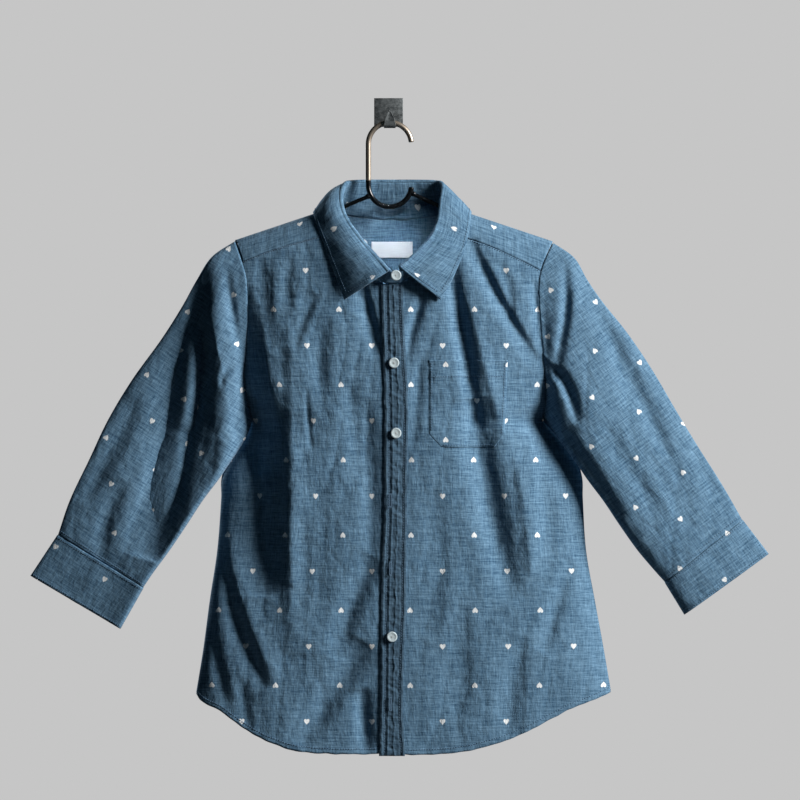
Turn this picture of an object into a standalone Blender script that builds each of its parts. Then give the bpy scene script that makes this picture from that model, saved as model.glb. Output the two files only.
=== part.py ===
"""A casual button-front shirt with three-quarter sleeves, hung on a wire hanger.

The hanger's hook rests on the prong of a small square wall plate. The wearer's
right is at -X, the front faces -Y, +Z is up, and the origin is the middle of the
plate's back face. Every size below is in millimetres; MM turns it to metres.

The shirt is described as two sheets, a front and a back, that meet along the
shoulders and down the sides. Each panel is a grid laid between its own cut edges
on one of the sheets, and then given the cloth's wall.
"""
import math

import bpy
import bmesh
from mathutils import Vector
from mathutils.bvhtree import BVHTree

MM = 0.001

# ---- driving dimensions ------------------------------------------------------
WALL = 1.3                # cloth wall, a seam's two layers included
SEAM = 0.3                # space between two pieces that are sewn together
ARMHOLE_GAP = 1.2         # the same at the armhole, where the walls meet at an angle
LAID_ON = 0.6             # space under a piece that is sewn on top of a panel

SHOULDER_X = 4.0          # middle of the shoulders
UNDERARM_Z = -353.0       # lowest point of the armholes
SHOULDER_TOP = -116.0     # height of the shoulder line beside the collar
SHOULDER_REACH = 88.0     # distance from the middle to that place
SHOULDER_SLOPE = 0.335    # fall of the shoulder line for each unit outward
SHOULDER_Y = -26.0        # depth of the shoulder line, over the hanger
FRONT_FALL = 110.0        # fall over which the front sheet reaches its full depth
BACK_FALL = 45.0          # the same for the back sheet
BACK_Y = -7.0             # the back sheet's plane
BACK_SEAM_Z = -184.0      # height of the back yoke seam
NECK_FRONT_Z = -196.5     # height of the neck at the button band
SIDE_ROUND = 2.6          # exponent of the level section: 2 is an ellipse
SHOULDER_ROUND = 4.0      # the same at the shoulders
SIDE_GAP = 0.8            # more space where the walls of front and back meet at a side
COLUMN_LEAN = 1.45        # above 1 gathers a front's columns towards its side seam
HEM_LIFT_BACK = 2.0       # the back hem lies this much above the front hem
BAND_TUCK = 3.0           # how far the right front reaches under the button band
STAND_LAP = 17.0          # the collar stand's right end reaches this far past its left
LAP_FORWARD = 2.2         # and lies this far in front of it
STAND_FOOT = 1.6          # the stand's lower edge starts this far above the neck seam

WIRE_R = 3.0              # hanger hook wire radius
ARM_R = 2.4               # hanger arm wire radius
HANGER_Y = -26.0          # plane of the hanger
CROOK_R = 24.5            # radius of the hook's crook and of its lower bend
CROOK_X = 1.5             # middle of both bends
CROOK_Z = -37.0           # height of the crook's centre
TROUGH_Z = -84.0          # height of the lower bend's centre
CROOK_END = 5.0           # degrees above level where the crook is cut off
ARM_BELOW = 5.3           # hanger arm's axis below the shoulder line

PLATE_SIDE = 33.0         # wall plate, square
PLATE_T = 1.2             # its sheet metal
PRONG_X = 1.4             # middle of the prong
PRONG_T = 1.0             # its thickness

CUFF_STEP = 1.2           # the cuff's outer face stands this far out of the sleeve
LEAF_R = 3.0              # radius of the collar's roll
LEAF_OFF = 2.6            # leaf's outer face off the panel under it, in front
LEAF_OFF_BACK = 2.8       # the same at the back
BUTTON_R = 6.0            # button radius
BUTTON_T = 2.6            # button thickness
LABEL_W = 47.0            # neck label width
LABEL_T = 0.6             # neck label thickness
LABEL_H = 18.5            # neck label height
LABEL_X = 4.0             # neck label middle
LABEL_TOP = -148.0        # neck label upper edge

# ---- colours (sRGB as linear floats), roughness, metallic --------------------
CHAMBRAY = ((0.10, 0.19, 0.28), 0.85, 0.0)
CHAMBRAY_DARK = ((0.07, 0.14, 0.22), 0.85, 0.0)
PEARL = ((0.62, 0.66, 0.66), 0.25, 0.0)
LABEL_WHITE = ((0.80, 0.84, 0.92), 0.6, 0.0)
NICKEL = ((0.62, 0.55, 0.48), 0.2, 1.0)
STEEL_GREY = ((0.24, 0.26, 0.26), 0.45, 0.8)

# ---- tables ------------------------------------------------------------------
# Sides of the sheets: height, wearer's right side, wearer's left side, seam depth.
# Above the armholes' lowest point the sides are those the sheets would have.
SIDES = (
    (-742, -225.0, 259.0, -20.0),
    (-664, -219.5, 253.7, -20.0),
    (-614, -211.5, 245.7, -19.5),
    (-557, -204.0, 235.4, -19.0),
    (-500, -195.5, 225.5, -18.0),
    (-440, -191.0, 221.8, -16.5),
    (-420, -190.0, 220.5, -15.5),
    (-402, -182.0, 214.0, -15.0),
    (-385, -171.0, 202.5, -15.0),
    (-368, -160.5, 190.0, -15.5),
    (-353, -155.0, 176.0, -16.5),
    (-338, -166.0, 185.0, -18.0),
    (-310, -181.0, 195.0, -20.0),
    (-260, -192.0, 203.0, -24.0),
    (-200, -197.0, 206.0, -26.0),
    (-110, -199.0, 208.0, -26.0),
)
# Depth of the front sheet at its middle: height, depth.
FRONT_DEPTH = (
    (-742, -52.0),
    (-640, -54.0),
    (-520, -58.0),
    (-400, -62.0),
    (-300, -62.0),
    (-200, -60.0),
    (-110, -58.0),
)
# Cut edges seen from the front: x, z from the shoulder down to the hem corner.
ARMHOLE_RIGHT = (
    (-175.0, -147.8), (-167.0, -170.4), (-161.3, -191.0), (-160.2, -230.0),
    (-162.5, -276.5), (-164.7, -300.0), (-161.3, -325.0), (-155.0, -353.0),
)
ARMHOLE_LEFT = (
    (187.0, -149.3), (174.4, -177.0), (170.6, -195.0), (171.6, -230.0),
    (175.5, -276.5), (178.5, -305.0), (179.0, -328.0), (176.0, -353.0),
)
SIDE_RIGHT = (
    (-155.0, -353.0), (-160.5, -368.0), (-171.0, -385.0), (-182.0, -402.0),
    (-190.0, -420.0), (-191.0, -440.0), (-195.5, -500.0), (-204.0, -557.0),
    (-211.5, -614.0), (-219.5, -664.0),
)
SIDE_LEFT = (
    (176.0, -353.0), (190.0, -368.0), (202.5, -385.0), (214.0, -402.0),
    (220.5, -420.0), (221.8, -440.0), (225.5, -500.0), (235.4, -557.0),
    (245.7, -614.0), (253.7, -662.0),
)
HEM_RIGHT = (
    (-219.5, -664.0), (-214.0, -672.0), (-193.2, -682.3), (-161.3, -705.1),
    (-139.7, -716.5), (-106.6, -727.9), (-60.0, -731.5), (-7.8, -731.0),
)
HEM_LEFT = (
    (253.7, -662.0), (240.0, -668.0), (204.6, -682.0), (160.0, -705.0),
    (132.8, -716.5), (90.6, -727.9), (50.0, -732.0), (-7.3, -732.0),
)
# Front yoke seams from the armhole to the neck, where a collar row ends them.
YOKE_SEAM_RIGHT = ((-166.8, -171.6), (-134.0, -159.0), (-95.2, -147.6))
YOKE_SEAM_LEFT = ((173.0, -181.8), (148.0, -169.0), (110.0, -152.2))
# Button band: height, wearer's right edge, wearer's left edge.
BAND = (
    (-733.6, -10.8, 18.8),
    (-671, -9.7, 16.5),
    (-557, -8.6, 20.0),
    (-443, -5.1, 21.1),
    (-329, -5.1, 22.2),
    (-215, -8.6, 16.5),
    (-196.5, -8.6, 17.0),
)
BAND_TOP = -198.0
BAND_BOTTOM = -733.6
# Folds of the front: start, middle and end of a valley, its half width and depth.
FRONT_FOLDS = (
    (-156, -262, -139, -385, -130, -530, 17.0, 11.0),    # from the right armhole down
    (-191, -470, -168, -574, -141, -650, 10.0, 5.0),     # right side, leaning in
    (-201, -575, -192, -631, -184, -680, 9.0, 3.5),
    (-20, -350, -19, -455, -18, -550, 9.0, 3.5),         # beside the band
    (-14, -548, -35, -580, -56, -606, 10.0, 4.0),
    (-20, -606, -60, -665, -95, -728, 12.0, 5.0),
    (-80, -215, -87, -240, -97, -270, 12.0, 3.0),
    (72, -165, 90, -272, 106, -355, 13.0, 8.5),          # from the collar down the left
    (104, -340, 122, -425, 152, -550, 14.0, 8.5),
    (126, -335, 131, -375, 135, -415, 10.0, 3.5),
    (101, -150, 137, -215, 176, -290, 13.0, 5.0),
    (216, -520, 200, -570, 180, -600, 11.0, 4.5),
    (150, -595, 150, -630, 151, -668, 12.0, 3.0),
    (176, -345, 198, -388, 222, -436, 12.0, 5.0),
)
# Folds of the back, of the same kinds.
BACK_FOLDS = (
    (-60, -210, -80, -340, -96, -480, 17.0, 4.5),
    (64, -205, 86, -330, 104, -500, 18.0, 4.5),
    (-150, -300, -140, -420, -150, -560, 15.0, 4.0),
    (160, -310, 152, -430, 170, -570, 15.0, 4.0),
    (4, -420, 10, -540, 2, -700, 20.0, 3.5),
)
# Folds of the sleeves' front and, mirrored in depth, of their back.
SLEEVE_FOLDS_RIGHT = (
    (-200, -168, -215, -250, -225, -335, 16.0, 7.0),
    (-222, -320, -230, -390, -257, -480, 18.0, 8.0),
    (-183, -184, -174, -226, -167, -268, 8.0, 3.0),
)
SLEEVE_FOLDS_LEFT = (
    (203, -178, 197, -250, 192, -290, 9.0, 4.0),
    (190, -300, 200, -318, 212, -342, 9.0, 3.0),
    (287, -290, 308, -345, 358, -432, 15.0, 6.0),
)
# Sleeves, from the armhole to the cuff seam: outer edge x, z, inner edge x, z,
# depth of both edges, fullness in front, fullness behind.
SLEEVE_RIGHT = (
    (-175.0, -147.8, -155.0, -353.0, -21.5, 16.0, 10.0),
    (-201.2, -165.9, -161.3, -369.9, -30.0, 19.0, 12.0),
    (-218.3, -192.1, -170.4, -385.9, -32.0, 22.0, 13.0),
    (-235.4, -222.9, -181.8, -403.0, -33.0, 23.0, 13.0),
    (-259.4, -260.5, -194.4, -421.2, -33.0, 22.0, 13.0),
    (-292.4, -306.1, -211.5, -444.0, -33.0, 20.0, 13.0),
    (-319.8, -351.7, -230.9, -473.7, -33.0, 18.0, 12.0),
    (-341.4, -397.3, -250.2, -502.2, -33.0, 17.0, 12.0),
    (-363.1, -442.9, -266.2, -523.8, -33.0, 15.0, 11.0),
    (-376.8, -482.8, -278.7, -542.1, -33.0, 14.0, 11.0),
)
SLEEVE_LEFT = (
    (187.0, -149.3, 176.0, -353.0, -21.5, 16.0, 10.0),
    (211.5, -167.0, 186.4, -364.2, -30.0, 19.0, 12.0),
    (226.3, -192.1, 198.9, -381.3, -32.0, 22.0, 13.0),
    (244.5, -218.3, 212.6, -399.6, -33.0, 23.0, 13.0),
    (271.9, -252.5, 227.4, -421.2, -33.0, 22.0, 13.0),
    (300.4, -294.7, 244.5, -444.0, -33.0, 20.0, 13.0),
    (327.8, -341.4, 262.8, -471.4, -33.0, 18.0, 12.0),
    (352.8, -382.5, 282.2, -498.8, -33.0, 17.0, 12.0),
    (380.2, -425.8, 299.3, -519.3, -33.0, 15.0, 11.0),
    (403.0, -465.7, 314.6, -536.4, -33.0, 14.0, 11.0),
)
# Cuff ends: outer edge x, z, inner edge x, z, depth, fullness in front and behind.
CUFF_END_RIGHT = (-407.6, -529.5, -305.0, -588.8, -33.0, 13.0, 11.0)
CUFF_END_LEFT = (432.6, -504.5, 336.9, -572.9, -33.0, 13.0, 11.0)
# Collar, round the neck from the wearer's right front to the left front:
# fold x, y, z; leaf's edge x, z; neck seam x, z; sheet that the edge and the seam
# lie on, -1 the front and 1 the back; way outward x, y.
COLLAR = (
    (1.7, -72.0, -181.3, -49.6, -214.9, -4.0, -196.0, -1, -0.15, -1.00),
    (-11.4, -68.0, -165.9, -58.7, -192.1, -22.0, -184.5, -1, -0.45, -0.90),
    (-31.0, -60.0, -143.1, -69.0, -163.6, -43.0, -165.0, -1, -0.75, -0.65),
    (-46.5, -49.5, -120.3, -77.5, -141.0, -58.5, -138.0, -1, -0.93, -0.40),
    (-52.0, -38.0, -100.0, -82.5, -126.5, -62.0, -120.0, -1, -1.00, -0.15),
    (-49.0, -26.0, -81.5, -85.0, -115.3, -61.0, -108.4, -1, -1.00, 0.15),
    (-41.0, -16.5, -77.8, -78.0, -127.0, -53.0, -116.0, 1, -0.75, 0.70),
    (-20.0, -11.5, -77.0, -45.0, -135.0, -28.0, -121.0, 1, -0.15, 1.00),
    (5.1, -11.0, -77.0, 5.0, -137.0, 4.5, -122.0, 1, 0.00, 1.00),
    (30.0, -11.5, -77.0, 55.0, -135.0, 37.0, -121.0, 1, 0.15, 1.00),
    (53.0, -16.5, -77.8, 86.0, -127.0, 62.0, -116.0, 1, 0.75, 0.70),
    (60.0, -26.0, -81.5, 93.0, -116.0, 70.0, -108.8, -1, 1.00, 0.15),
    (57.5, -38.0, -101.0, 92.5, -127.5, 71.0, -121.0, -1, 1.00, -0.15),
    (54.5, -49.5, -124.8, 90.5, -141.5, 67.5, -139.0, -1, 0.93, -0.40),
    (45.0, -60.0, -145.4, 85.0, -162.5, 53.0, -165.0, -1, 0.75, -0.65),
    (24.0, -68.0, -167.0, 72.4, -192.1, 31.0, -184.5, -1, 0.45, -0.90),
    (12.5, -72.0, -176.5, 58.7, -214.9, 13.0, -196.0, -1, 0.15, -1.00),
)
LAST_ROW = len(COLLAR) - 1
CORNER_RIGHT = 3          # the collar row where the right front yoke seam ends
CORNER_LEFT = 13          # the collar row where the left front yoke seam ends
# Hanger arms from the hook to the shoulder line: x, z.
ARM_RIGHT = ((-23.0, -96.8), (-45.0, -106.0), (-62.0, -114.2))
ARM_LEFT = ((27.5, -93.8), (50.0, -104.0), (70.0, -114.2))
ARM_END = 158.0           # the arms' reach from the middle
ARM_STEPS = 6
# Shares of a grid's side: the yoke seam of a front's top, the armhole of its side,
# each shoulder of the yoke's edge, the roll of the collar leaf.
SEAM_SHARE = 0.58
ARMHOLE_SHARE = 0.38
YOKE_SHARE = 6 / 32
ROLL_SHARE = 0.4
TURN_SCALE = 60.0         # millimetres for a turn of 1, so that x and turn compare
# Pocket outline: height, wearer's right edge, wearer's left edge.
POCKET = (
    (-382.5, 60.0, 120.3),
    (-367.0, 45.8, 131.8),
    (-283.5, 45.7, 135.5),
)
# Prong, from inside the plate out and up to its point: depth, height, half width.
PRONG = (
    (-0.6, -10.0, 6.6),
    (-0.6, -15.0, 6.6),
    (-1.3, -16.9, 6.6),
    (-3.2, -17.4, 6.6),
    (-28.2, -17.4, 6.6),
    (-29.9, -16.9, 6.6),
    (-30.5, -15.2, 6.6),
    (-30.5, -9.0, 5.4),
    (-30.5, -4.0, 3.4),
    (-30.5, -0.4, 1.7),
    (-30.5, 0.8, 0.7),
)
# Buttons: name, x, z, the piece they lie on.
BUTTONS = (
    ("button_stand", 8.6, -187.5, "stand"),
    ("button_chest", 6.3, -286.7, "band"),
    ("button_bust", 8.6, -366.5, "band"),
    ("button_low", 4.0, -597.9, "band"),
)
# Section of a button from its middle to its rim and back, in radii and thicknesses.
BUTTON_PROFILE = (
    (0.0, 0.62), (0.55, 0.62), (0.70, 1.0), (0.90, 1.0),
    (1.0, 0.62), (0.93, 0.08), (0.75, 0.0), (0.0, 0.0),
)


# ---- curves through tables ---------------------------------------------------
def slope(keys, values, i):
    """Slope at row i of a curve that passes smoothly through the rows."""
    before = max(i - 1, 0)
    after = min(i + 1, len(keys) - 1)
    return (values[after] - values[before]) / (keys[after] - keys[before])


def smooth(keys, values, key):
    """Value at key on a smooth curve through the rows, keys rising."""
    key = min(max(key, keys[0]), keys[-1])
    i = 0
    while i < len(keys) - 2 and key > keys[i + 1]:
        i += 1
    step = keys[i + 1] - keys[i]
    t = (key - keys[i]) / step
    m0 = slope(keys, values, i) * step
    m1 = slope(keys, values, i + 1) * step
    a = 2 * t ** 3 - 3 * t ** 2 + 1
    b = t ** 3 - 2 * t ** 2 + t
    return a * values[i] + b * m0 + (1 - a) * values[i + 1] + (t ** 3 - t ** 2) * m1


def column(table, index):
    return [row[index] for row in table]


def table_curve(table, index):
    """A function of the table's first column that gives another column."""
    keys = column(table, 0)
    values = column(table, index)
    return lambda key: smooth(keys, values, key)


def edge_curve(points):
    """A function from 0 to 1 that runs evenly along a smooth edge."""
    keys = [0.0]
    for a, b in zip(points, points[1:]):
        keys.append(keys[-1] + math.dist(a, b))
    keys = [key / keys[-1] for key in keys]
    parts = [column(points, i) for i in range(len(points[0]))]
    return lambda t: tuple(smooth(keys, part, t) for part in parts)


def joined(first, second, share):
    """Two edges run one after the other, the first over its share of the way."""
    a = edge_curve(first)
    b = edge_curve(second)

    def run(t):
        if t < share:
            return a(t / share)
        return b((t - share) / (1 - share))
    return run


def spread(rows, index):
    """A table's column as a function of the row's place, 0 to 1."""
    keys = [i / (len(rows) - 1) for i in range(len(rows))]
    values = column(rows, index)
    return lambda t: smooth(keys, values, t)


# ---- the two sheets ----------------------------------------------------------
side_low = table_curve(SIDES, 1)
side_high = table_curve(SIDES, 2)
seam_depth = table_curve(SIDES, 3)
front_depth = table_curve(FRONT_DEPTH, 1)
band_low = table_curve(BAND, 1)
band_high = table_curve(BAND, 2)


def shoulder_z(x):
    """Height of the shoulder line, carried on over the neck."""
    return SHOULDER_TOP - SHOULDER_SLOPE * (abs(x - SHOULDER_X) - SHOULDER_REACH)


def fullness(x, z):
    """How full the sheet is across its width: 1 in the middle, 0 at a side."""
    low = side_low(z)
    high = side_high(z)
    across = abs(x - (low + high) / 2) / ((high - low) / 2)
    share = min(max((z + 260) / 110, 0), 1)
    power = SIDE_ROUND + (SHOULDER_ROUND - SIDE_ROUND) * share
    return math.sqrt(max(1 - min(across, 1) ** power, 0))


def fold(rows, x, z):
    """Depth of the valleys at a place."""
    total = 0.0
    for x0, z0, x1, z1, x2, z2, width, depth in rows:
        nearest = None
        for ax, az, bx, bz, start in ((x0, z0, x1, z1, 0), (x1, z1, x2, z2, 1)):
            length = (bx - ax) ** 2 + (bz - az) ** 2
            t = min(max(((x - ax) * (bx - ax) + (z - az) * (bz - az)) / length, 0), 1)
            gap = math.dist((x, z), (ax + t * (bx - ax), az + t * (bz - az)))
            if nearest is None or gap < nearest[0]:
                nearest = (gap, (start + t) / 2)
        gap, along = nearest
        taper = math.sqrt(max(math.sin(math.pi * along), 0))
        total += depth * taper * math.exp(-(gap / width) ** 2)
    return total


def sheet_y(x, z, face):
    """Depth of the cloth's outer face: face is -1 in front and 1 behind."""
    side = seam_depth(z)
    full = fullness(x, z)
    fall = FRONT_FALL if face < 0 else BACK_FALL
    drop = min(max((shoulder_z(x) - z) / fall, 0), 1)
    rise = full * math.sqrt(1 - (1 - drop) ** 2)
    plane = front_depth(z) if face < 0 else BACK_Y
    rows = FRONT_FOLDS if face < 0 else BACK_FOLDS
    apart = SIDE_GAP * (1 - full) ** 3 * face if z < UNDERARM_Z + 40 else 0
    return side + (plane - side) * rise + apart - face * fold(rows, x, z) * min(1, 1.2 * rise)


# ---- meshes ------------------------------------------------------------------
def grid(columns, rows, place):
    """A grid whose points are moved to place(u, v), both 0 to 1."""
    bm = bmesh.new()
    bmesh.ops.create_grid(bm, x_segments=columns, y_segments=rows, size=1.0)
    for vert in bm.verts:
        u = (vert.co.x + 1) / 2
        v = (vert.co.y + 1) / 2
        vert.co = Vector(place(u, v)) * MM
    return bm


def material(name, finish):
    colour, roughness, metallic = finish
    made = bpy.data.materials.new(name)
    made.use_nodes = True
    shader = made.node_tree.nodes["Principled BSDF"]
    shader.inputs["Base Color"].default_value = (*colour, 1)
    shader.inputs["Roughness"].default_value = roughness
    shader.inputs["Metallic"].default_value = metallic
    made.diffuse_color = (*colour, 1)
    return made


def add_object(name, mesh, finish, collection, smooth_angle=50):
    made = bpy.data.objects.new(name, mesh)
    mesh.materials.append(material(name + "_finish", finish))
    mesh.shade_smooth()
    mesh.set_sharp_from_angle(angle=math.radians(smooth_angle))
    collection.objects.link(made)
    return made


def cloth(name, bm, facing, collection, finish=CHAMBRAY, wall=WALL, outward=False):
    """Give an open sheet its wall. facing(centre) is the way its outer face looks."""
    bmesh.ops.recalc_face_normals(bm, faces=bm.faces)
    votes = 0.0
    for face in bm.faces:
        votes += face.normal.dot(Vector(facing(face.calc_center_median() / MM)))
    if votes < 0:
        bmesh.ops.reverse_faces(bm, faces=bm.faces)
    mesh = bpy.data.meshes.new(name)
    bm.to_mesh(mesh)
    bm.free()
    made = add_object(name, mesh, finish, collection)
    solidify = made.modifiers.new("wall", "SOLIDIFY")
    solidify.thickness = wall * MM
    solidify.offset = 1.0 if outward else -1.0
    solidify.use_even_offset = True
    return made


def wire(name, points, radius, finish, collection):
    """A round wire with flat ends along the points."""
    curve = bpy.data.curves.new(name, "CURVE")
    curve.dimensions = "3D"
    curve.bevel_depth = radius * MM
    curve.bevel_resolution = 3
    curve.use_fill_caps = True
    spline = curve.splines.new("POLY")
    spline.points.add(len(points) - 1)
    for target, point in zip(spline.points, points):
        target.co = (*(Vector(point) * MM), 1)
    curve.materials.append(material(name + "_finish", finish))
    made = bpy.data.objects.new(name, curve)
    collection.objects.link(made)
    return made


def towards_front(_):
    return (0, -1, 0)


def towards_back(_):
    return (0, 1, 0)


front_faces = []          # the fronts' outer faces, for what is sewn on top of them


# ---- body panels -------------------------------------------------------------
def patch(top, bottom, outer, inner):
    """Fill four edges: u runs from outer to inner, v from top to bottom."""
    corner = (top(0), top(1), bottom(0), bottom(1))

    def place(u, v):
        t, b, o, i = top(u), bottom(u), outer(v), inner(v)
        made = []
        for k in (0, 1):
            ruled = (1 - v) * t[k] + v * b[k] + (1 - u) * o[k] + u * i[k]
            twist = (1 - v) * ((1 - u) * corner[0][k] + u * corner[1][k])
            twist += v * ((1 - u) * corner[2][k] + u * corner[3][k])
            made.append(ruled - twist)
        return made
    return place


def at_height(edge, height):
    """The x of an edge that falls steadily, at a height."""
    return smooth([-z for _, z in edge], column(edge, 0), -height)


def armhole_below(edge, height):
    """The part of an armhole edge below a height, started exactly at that height."""
    return ((at_height(edge, height), height),) + tuple(p for p in edge if p[1] < height - 6)


def front(name, armhole, side, seam, neck, hem, tuck, collection):
    """A front, from its yoke seam and neck to the hem, from its side to the band."""
    seam = [(x, z - 1.5 * SEAM) for x, z in seam + (neck[0],)]
    arm = armhole_below(armhole, seam[0][1])
    seam[0] = arm[0]
    top = joined(seam, (seam[-1],) + neck[1:], SEAM_SHARE)
    outer = joined(arm, side, ARMHOLE_SHARE)
    bottom = edge_curve(hem)

    def inner(v):
        z = neck[-1][1] + v * (hem[-1][1] - neck[-1][1])
        return (band_low(z) + tuck, z)

    fill = patch(top, bottom, outer, inner)

    def place(u, v):
        x, z = fill(u ** COLUMN_LEAN, v)
        return (x, sheet_y(x, z, -1) - SEAM / 2, z)

    bm = grid(20, 24, place)
    front_faces.append(BVHTree.FromBMesh(bm))
    return cloth(name, bm, towards_front, collection)


def back_panel(collection):
    """The back, below the yoke, from side to side."""
    top_z = BACK_SEAM_Z - SEAM / 2
    arm_r = armhole_below(ARMHOLE_RIGHT, top_z)
    arm_l = armhole_below(ARMHOLE_LEFT, top_z)
    right = joined(arm_r, SIDE_RIGHT, ARMHOLE_SHARE)
    left = joined(arm_l, SIDE_LEFT, ARMHOLE_SHARE)
    hem_low = edge_curve(HEM_RIGHT)
    hem_high = edge_curve(HEM_LEFT)

    def top(u):
        return (arm_r[0][0] + u * (arm_l[0][0] - arm_r[0][0]), top_z)

    def bottom(u):
        if u < 0.5:
            return hem_low(2 * u)
        return hem_high(2 - 2 * u)

    fill = patch(top, bottom, right, left)

    def place(u, v):
        even = 0.5 - 0.5 * math.cos(math.pi * u)
        x, z = fill(0.6 * even + 0.4 * u, v)
        z += HEM_LIFT_BACK * v ** 8
        return (x, sheet_y(x, z, 1) + SEAM / 2, z)
    return cloth("back", grid(20, 20, place), towards_back, collection)


# ---- the shoulders as one surface --------------------------------------------
def turn(x, z, face):
    """How far a place lies over the shoulder line: minus in front, plus behind."""
    drop = (shoulder_z(x) - z) / (FRONT_FALL if face < 0 else BACK_FALL)
    if drop > 1:
        return face * (math.pi / 2 + drop - 1)
    return face * math.acos(1 - max(drop, 0))


def spot(x, turned):
    """The point of the sheets at an x and a turn over the shoulder line."""
    face = -1 if turned < 0 else 1
    drop = 1 - math.cos(turned)
    if abs(turned) > math.pi / 2:
        drop = 1 + abs(turned) - math.pi / 2
    z = shoulder_z(x) - (FRONT_FALL if face < 0 else BACK_FALL) * drop
    return Vector((x, sheet_y(x, z, face), z))


def off_sheet(x, turned, off):
    """A point that lies off the sheets by a distance, outward."""
    across = spot(x + 1, turned) - spot(x - 1, turned)
    over = spot(x, turned + 0.03) - spot(x, turned - 0.03)
    normal = across.cross(over).normalized()
    middle = Vector((x, -30.0, -260.0))
    point = spot(x, turned)
    if normal.dot(point - middle) < 0:
        normal = -normal
    return point + normal * off


def collar_line(x_column, z_column):
    """A collar table edge as points of x and turn, one for each row."""
    return [(row[x_column], TURN_SCALE * turn(row[x_column], row[z_column], row[7])) for row in COLLAR]


neck_rows = collar_line(5, 6)
neck_x = spread(neck_rows, 0)
neck_turn = spread(neck_rows, 1)
leaf_rows = collar_line(3, 4)
leaf_x = spread(leaf_rows, 0)
leaf_turn = spread(leaf_rows, 1)
fold_curves = [spread(COLLAR, i) for i in (0, 1, 2)]
out_curves = [spread(COLLAR, i) for i in (8, 9)]


def neck_edge(t):
    """The neck seam at a share of the way round, as x and height."""
    point = spot(neck_x(t), neck_turn(t) / TURN_SCALE)
    return (point.x, point.z)


def yoke(collection):
    """The yoke, from the front seams and the neck over the shoulders to the back."""
    back_z = BACK_SEAM_Z + SEAM / 2
    first = CORNER_RIGHT / LAST_ROW
    last = CORNER_LEFT / LAST_ROW

    def seam_line(edge, armhole, corner_t):
        """A front yoke seam as x and turn, from the armhole to the neck."""
        points = edge + (neck_edge(corner_t),)
        points = ((at_height(armhole, points[0][1]), points[0][1]),) + points[1:]
        return edge_curve([(x, TURN_SCALE * turn(x, z + SEAM / 2, -1)) for x, z in points])

    right = seam_line(YOKE_SEAM_RIGHT, ARMHOLE_RIGHT, first)
    left = seam_line(YOKE_SEAM_LEFT, ARMHOLE_LEFT, last)

    def start(u):
        if u < YOKE_SHARE:
            return right(u / YOKE_SHARE)
        if u > 1 - YOKE_SHARE:
            return left((1 - u) / YOKE_SHARE)
        t = first + (last - first) * (u - YOKE_SHARE) / (1 - 2 * YOKE_SHARE)
        return (neck_x(t), neck_turn(t))

    end_right = at_height(ARMHOLE_RIGHT, back_z)
    end_left = at_height(ARMHOLE_LEFT, back_z)

    def ruled(u, v):
        x0, turned = start(u)
        x1 = end_right + u * (end_left - end_right)
        x = x0 + (x1 - x0) * v
        end = turn(x1, back_z, 1)
        return x, turned / TURN_SCALE + v * (end - turned / TURN_SCALE)

    def place(u, v):
        x, turned = ruled(u, v)
        for end, edge in ((0, ARMHOLE_RIGHT), (1, ARMHOLE_LEFT)):
            near = max(1 - abs(u - end) / YOKE_SHARE, 0) ** 2
            if near > 0:
                edge_x, edge_turn = ruled(end, v)
                height = spot(edge_x, edge_turn).z
                height = spot(at_height(edge, height), edge_turn).z
                x += near * (at_height(edge, height) - edge_x)
        return spot(x, turned)

    def facing(centre):
        return (0, centre.y - SHOULDER_Y, 12)
    return cloth("yoke", grid(32, 9, place), facing, collection)


# ---- sleeves and cuffs -------------------------------------------------------
def oval(row, f, face):
    """A point of a flattened ring: f runs from its outer edge to its inner edge."""
    ox, oz, ix, iz, y, full_front, full_back = row
    share = 0.5 - 0.5 * math.cos(math.pi * f)
    full = -full_front if face < 0 else full_back
    depth = y + full * math.sin(math.pi * f) ** 0.8
    return Vector((ox + (ix - ox) * share, depth, oz + (iz - oz) * share))


def ring_place(u):
    """Where a point of a ring lies: share from outer to inner edge, and its face."""
    if u <= 0.5:
        return 2 * u, -1
    return 2 - 2 * u, 1


def sleeve(name, rows, armhole, folds, collection):
    """A sleeve from its armhole to the cuff seam."""
    columns = [spread(rows, i) for i in range(7)]
    cut = edge_curve(armhole)
    away = -1 if rows[0][0] < 0 else 1
    start = tuple(rows[0])

    def place(u, v):
        f, face = ring_place(u)
        row = tuple(curve(v) for curve in columns)
        point = oval(row, f, face)
        x, z = cut(f)
        at_armhole = Vector((x, sheet_y(x, z, face), z))
        blend = max(1 - v / 0.34, 0) ** 2
        point += (at_armhole - oval(start, f, face)) * blend
        inside = math.sin(math.pi * f) * min(1, v / 0.12)
        point.y -= face * inside * fold(folds, point.x, point.z)
        point.x += away * ARMHOLE_GAP
        point.z += ARMHOLE_GAP * (1.2 * f - 0.3)
        return point

    bm = grid(22, 13, place)
    bmesh.ops.remove_doubles(bm, verts=bm.verts, dist=0.01 * MM)
    return cloth(name, bm, around(columns), collection)


def around(columns):
    """Faces look away from the sleeve's axis."""
    def facing(centre):
        best = None
        for i in range(21):
            row = [curve(i / 20) for curve in columns]
            axis = Vector(((row[0] + row[2]) / 2, row[4], (row[1] + row[3]) / 2))
            if best is None or (centre - axis).length < best.length:
                best = centre - axis
        return best
    return facing


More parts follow.
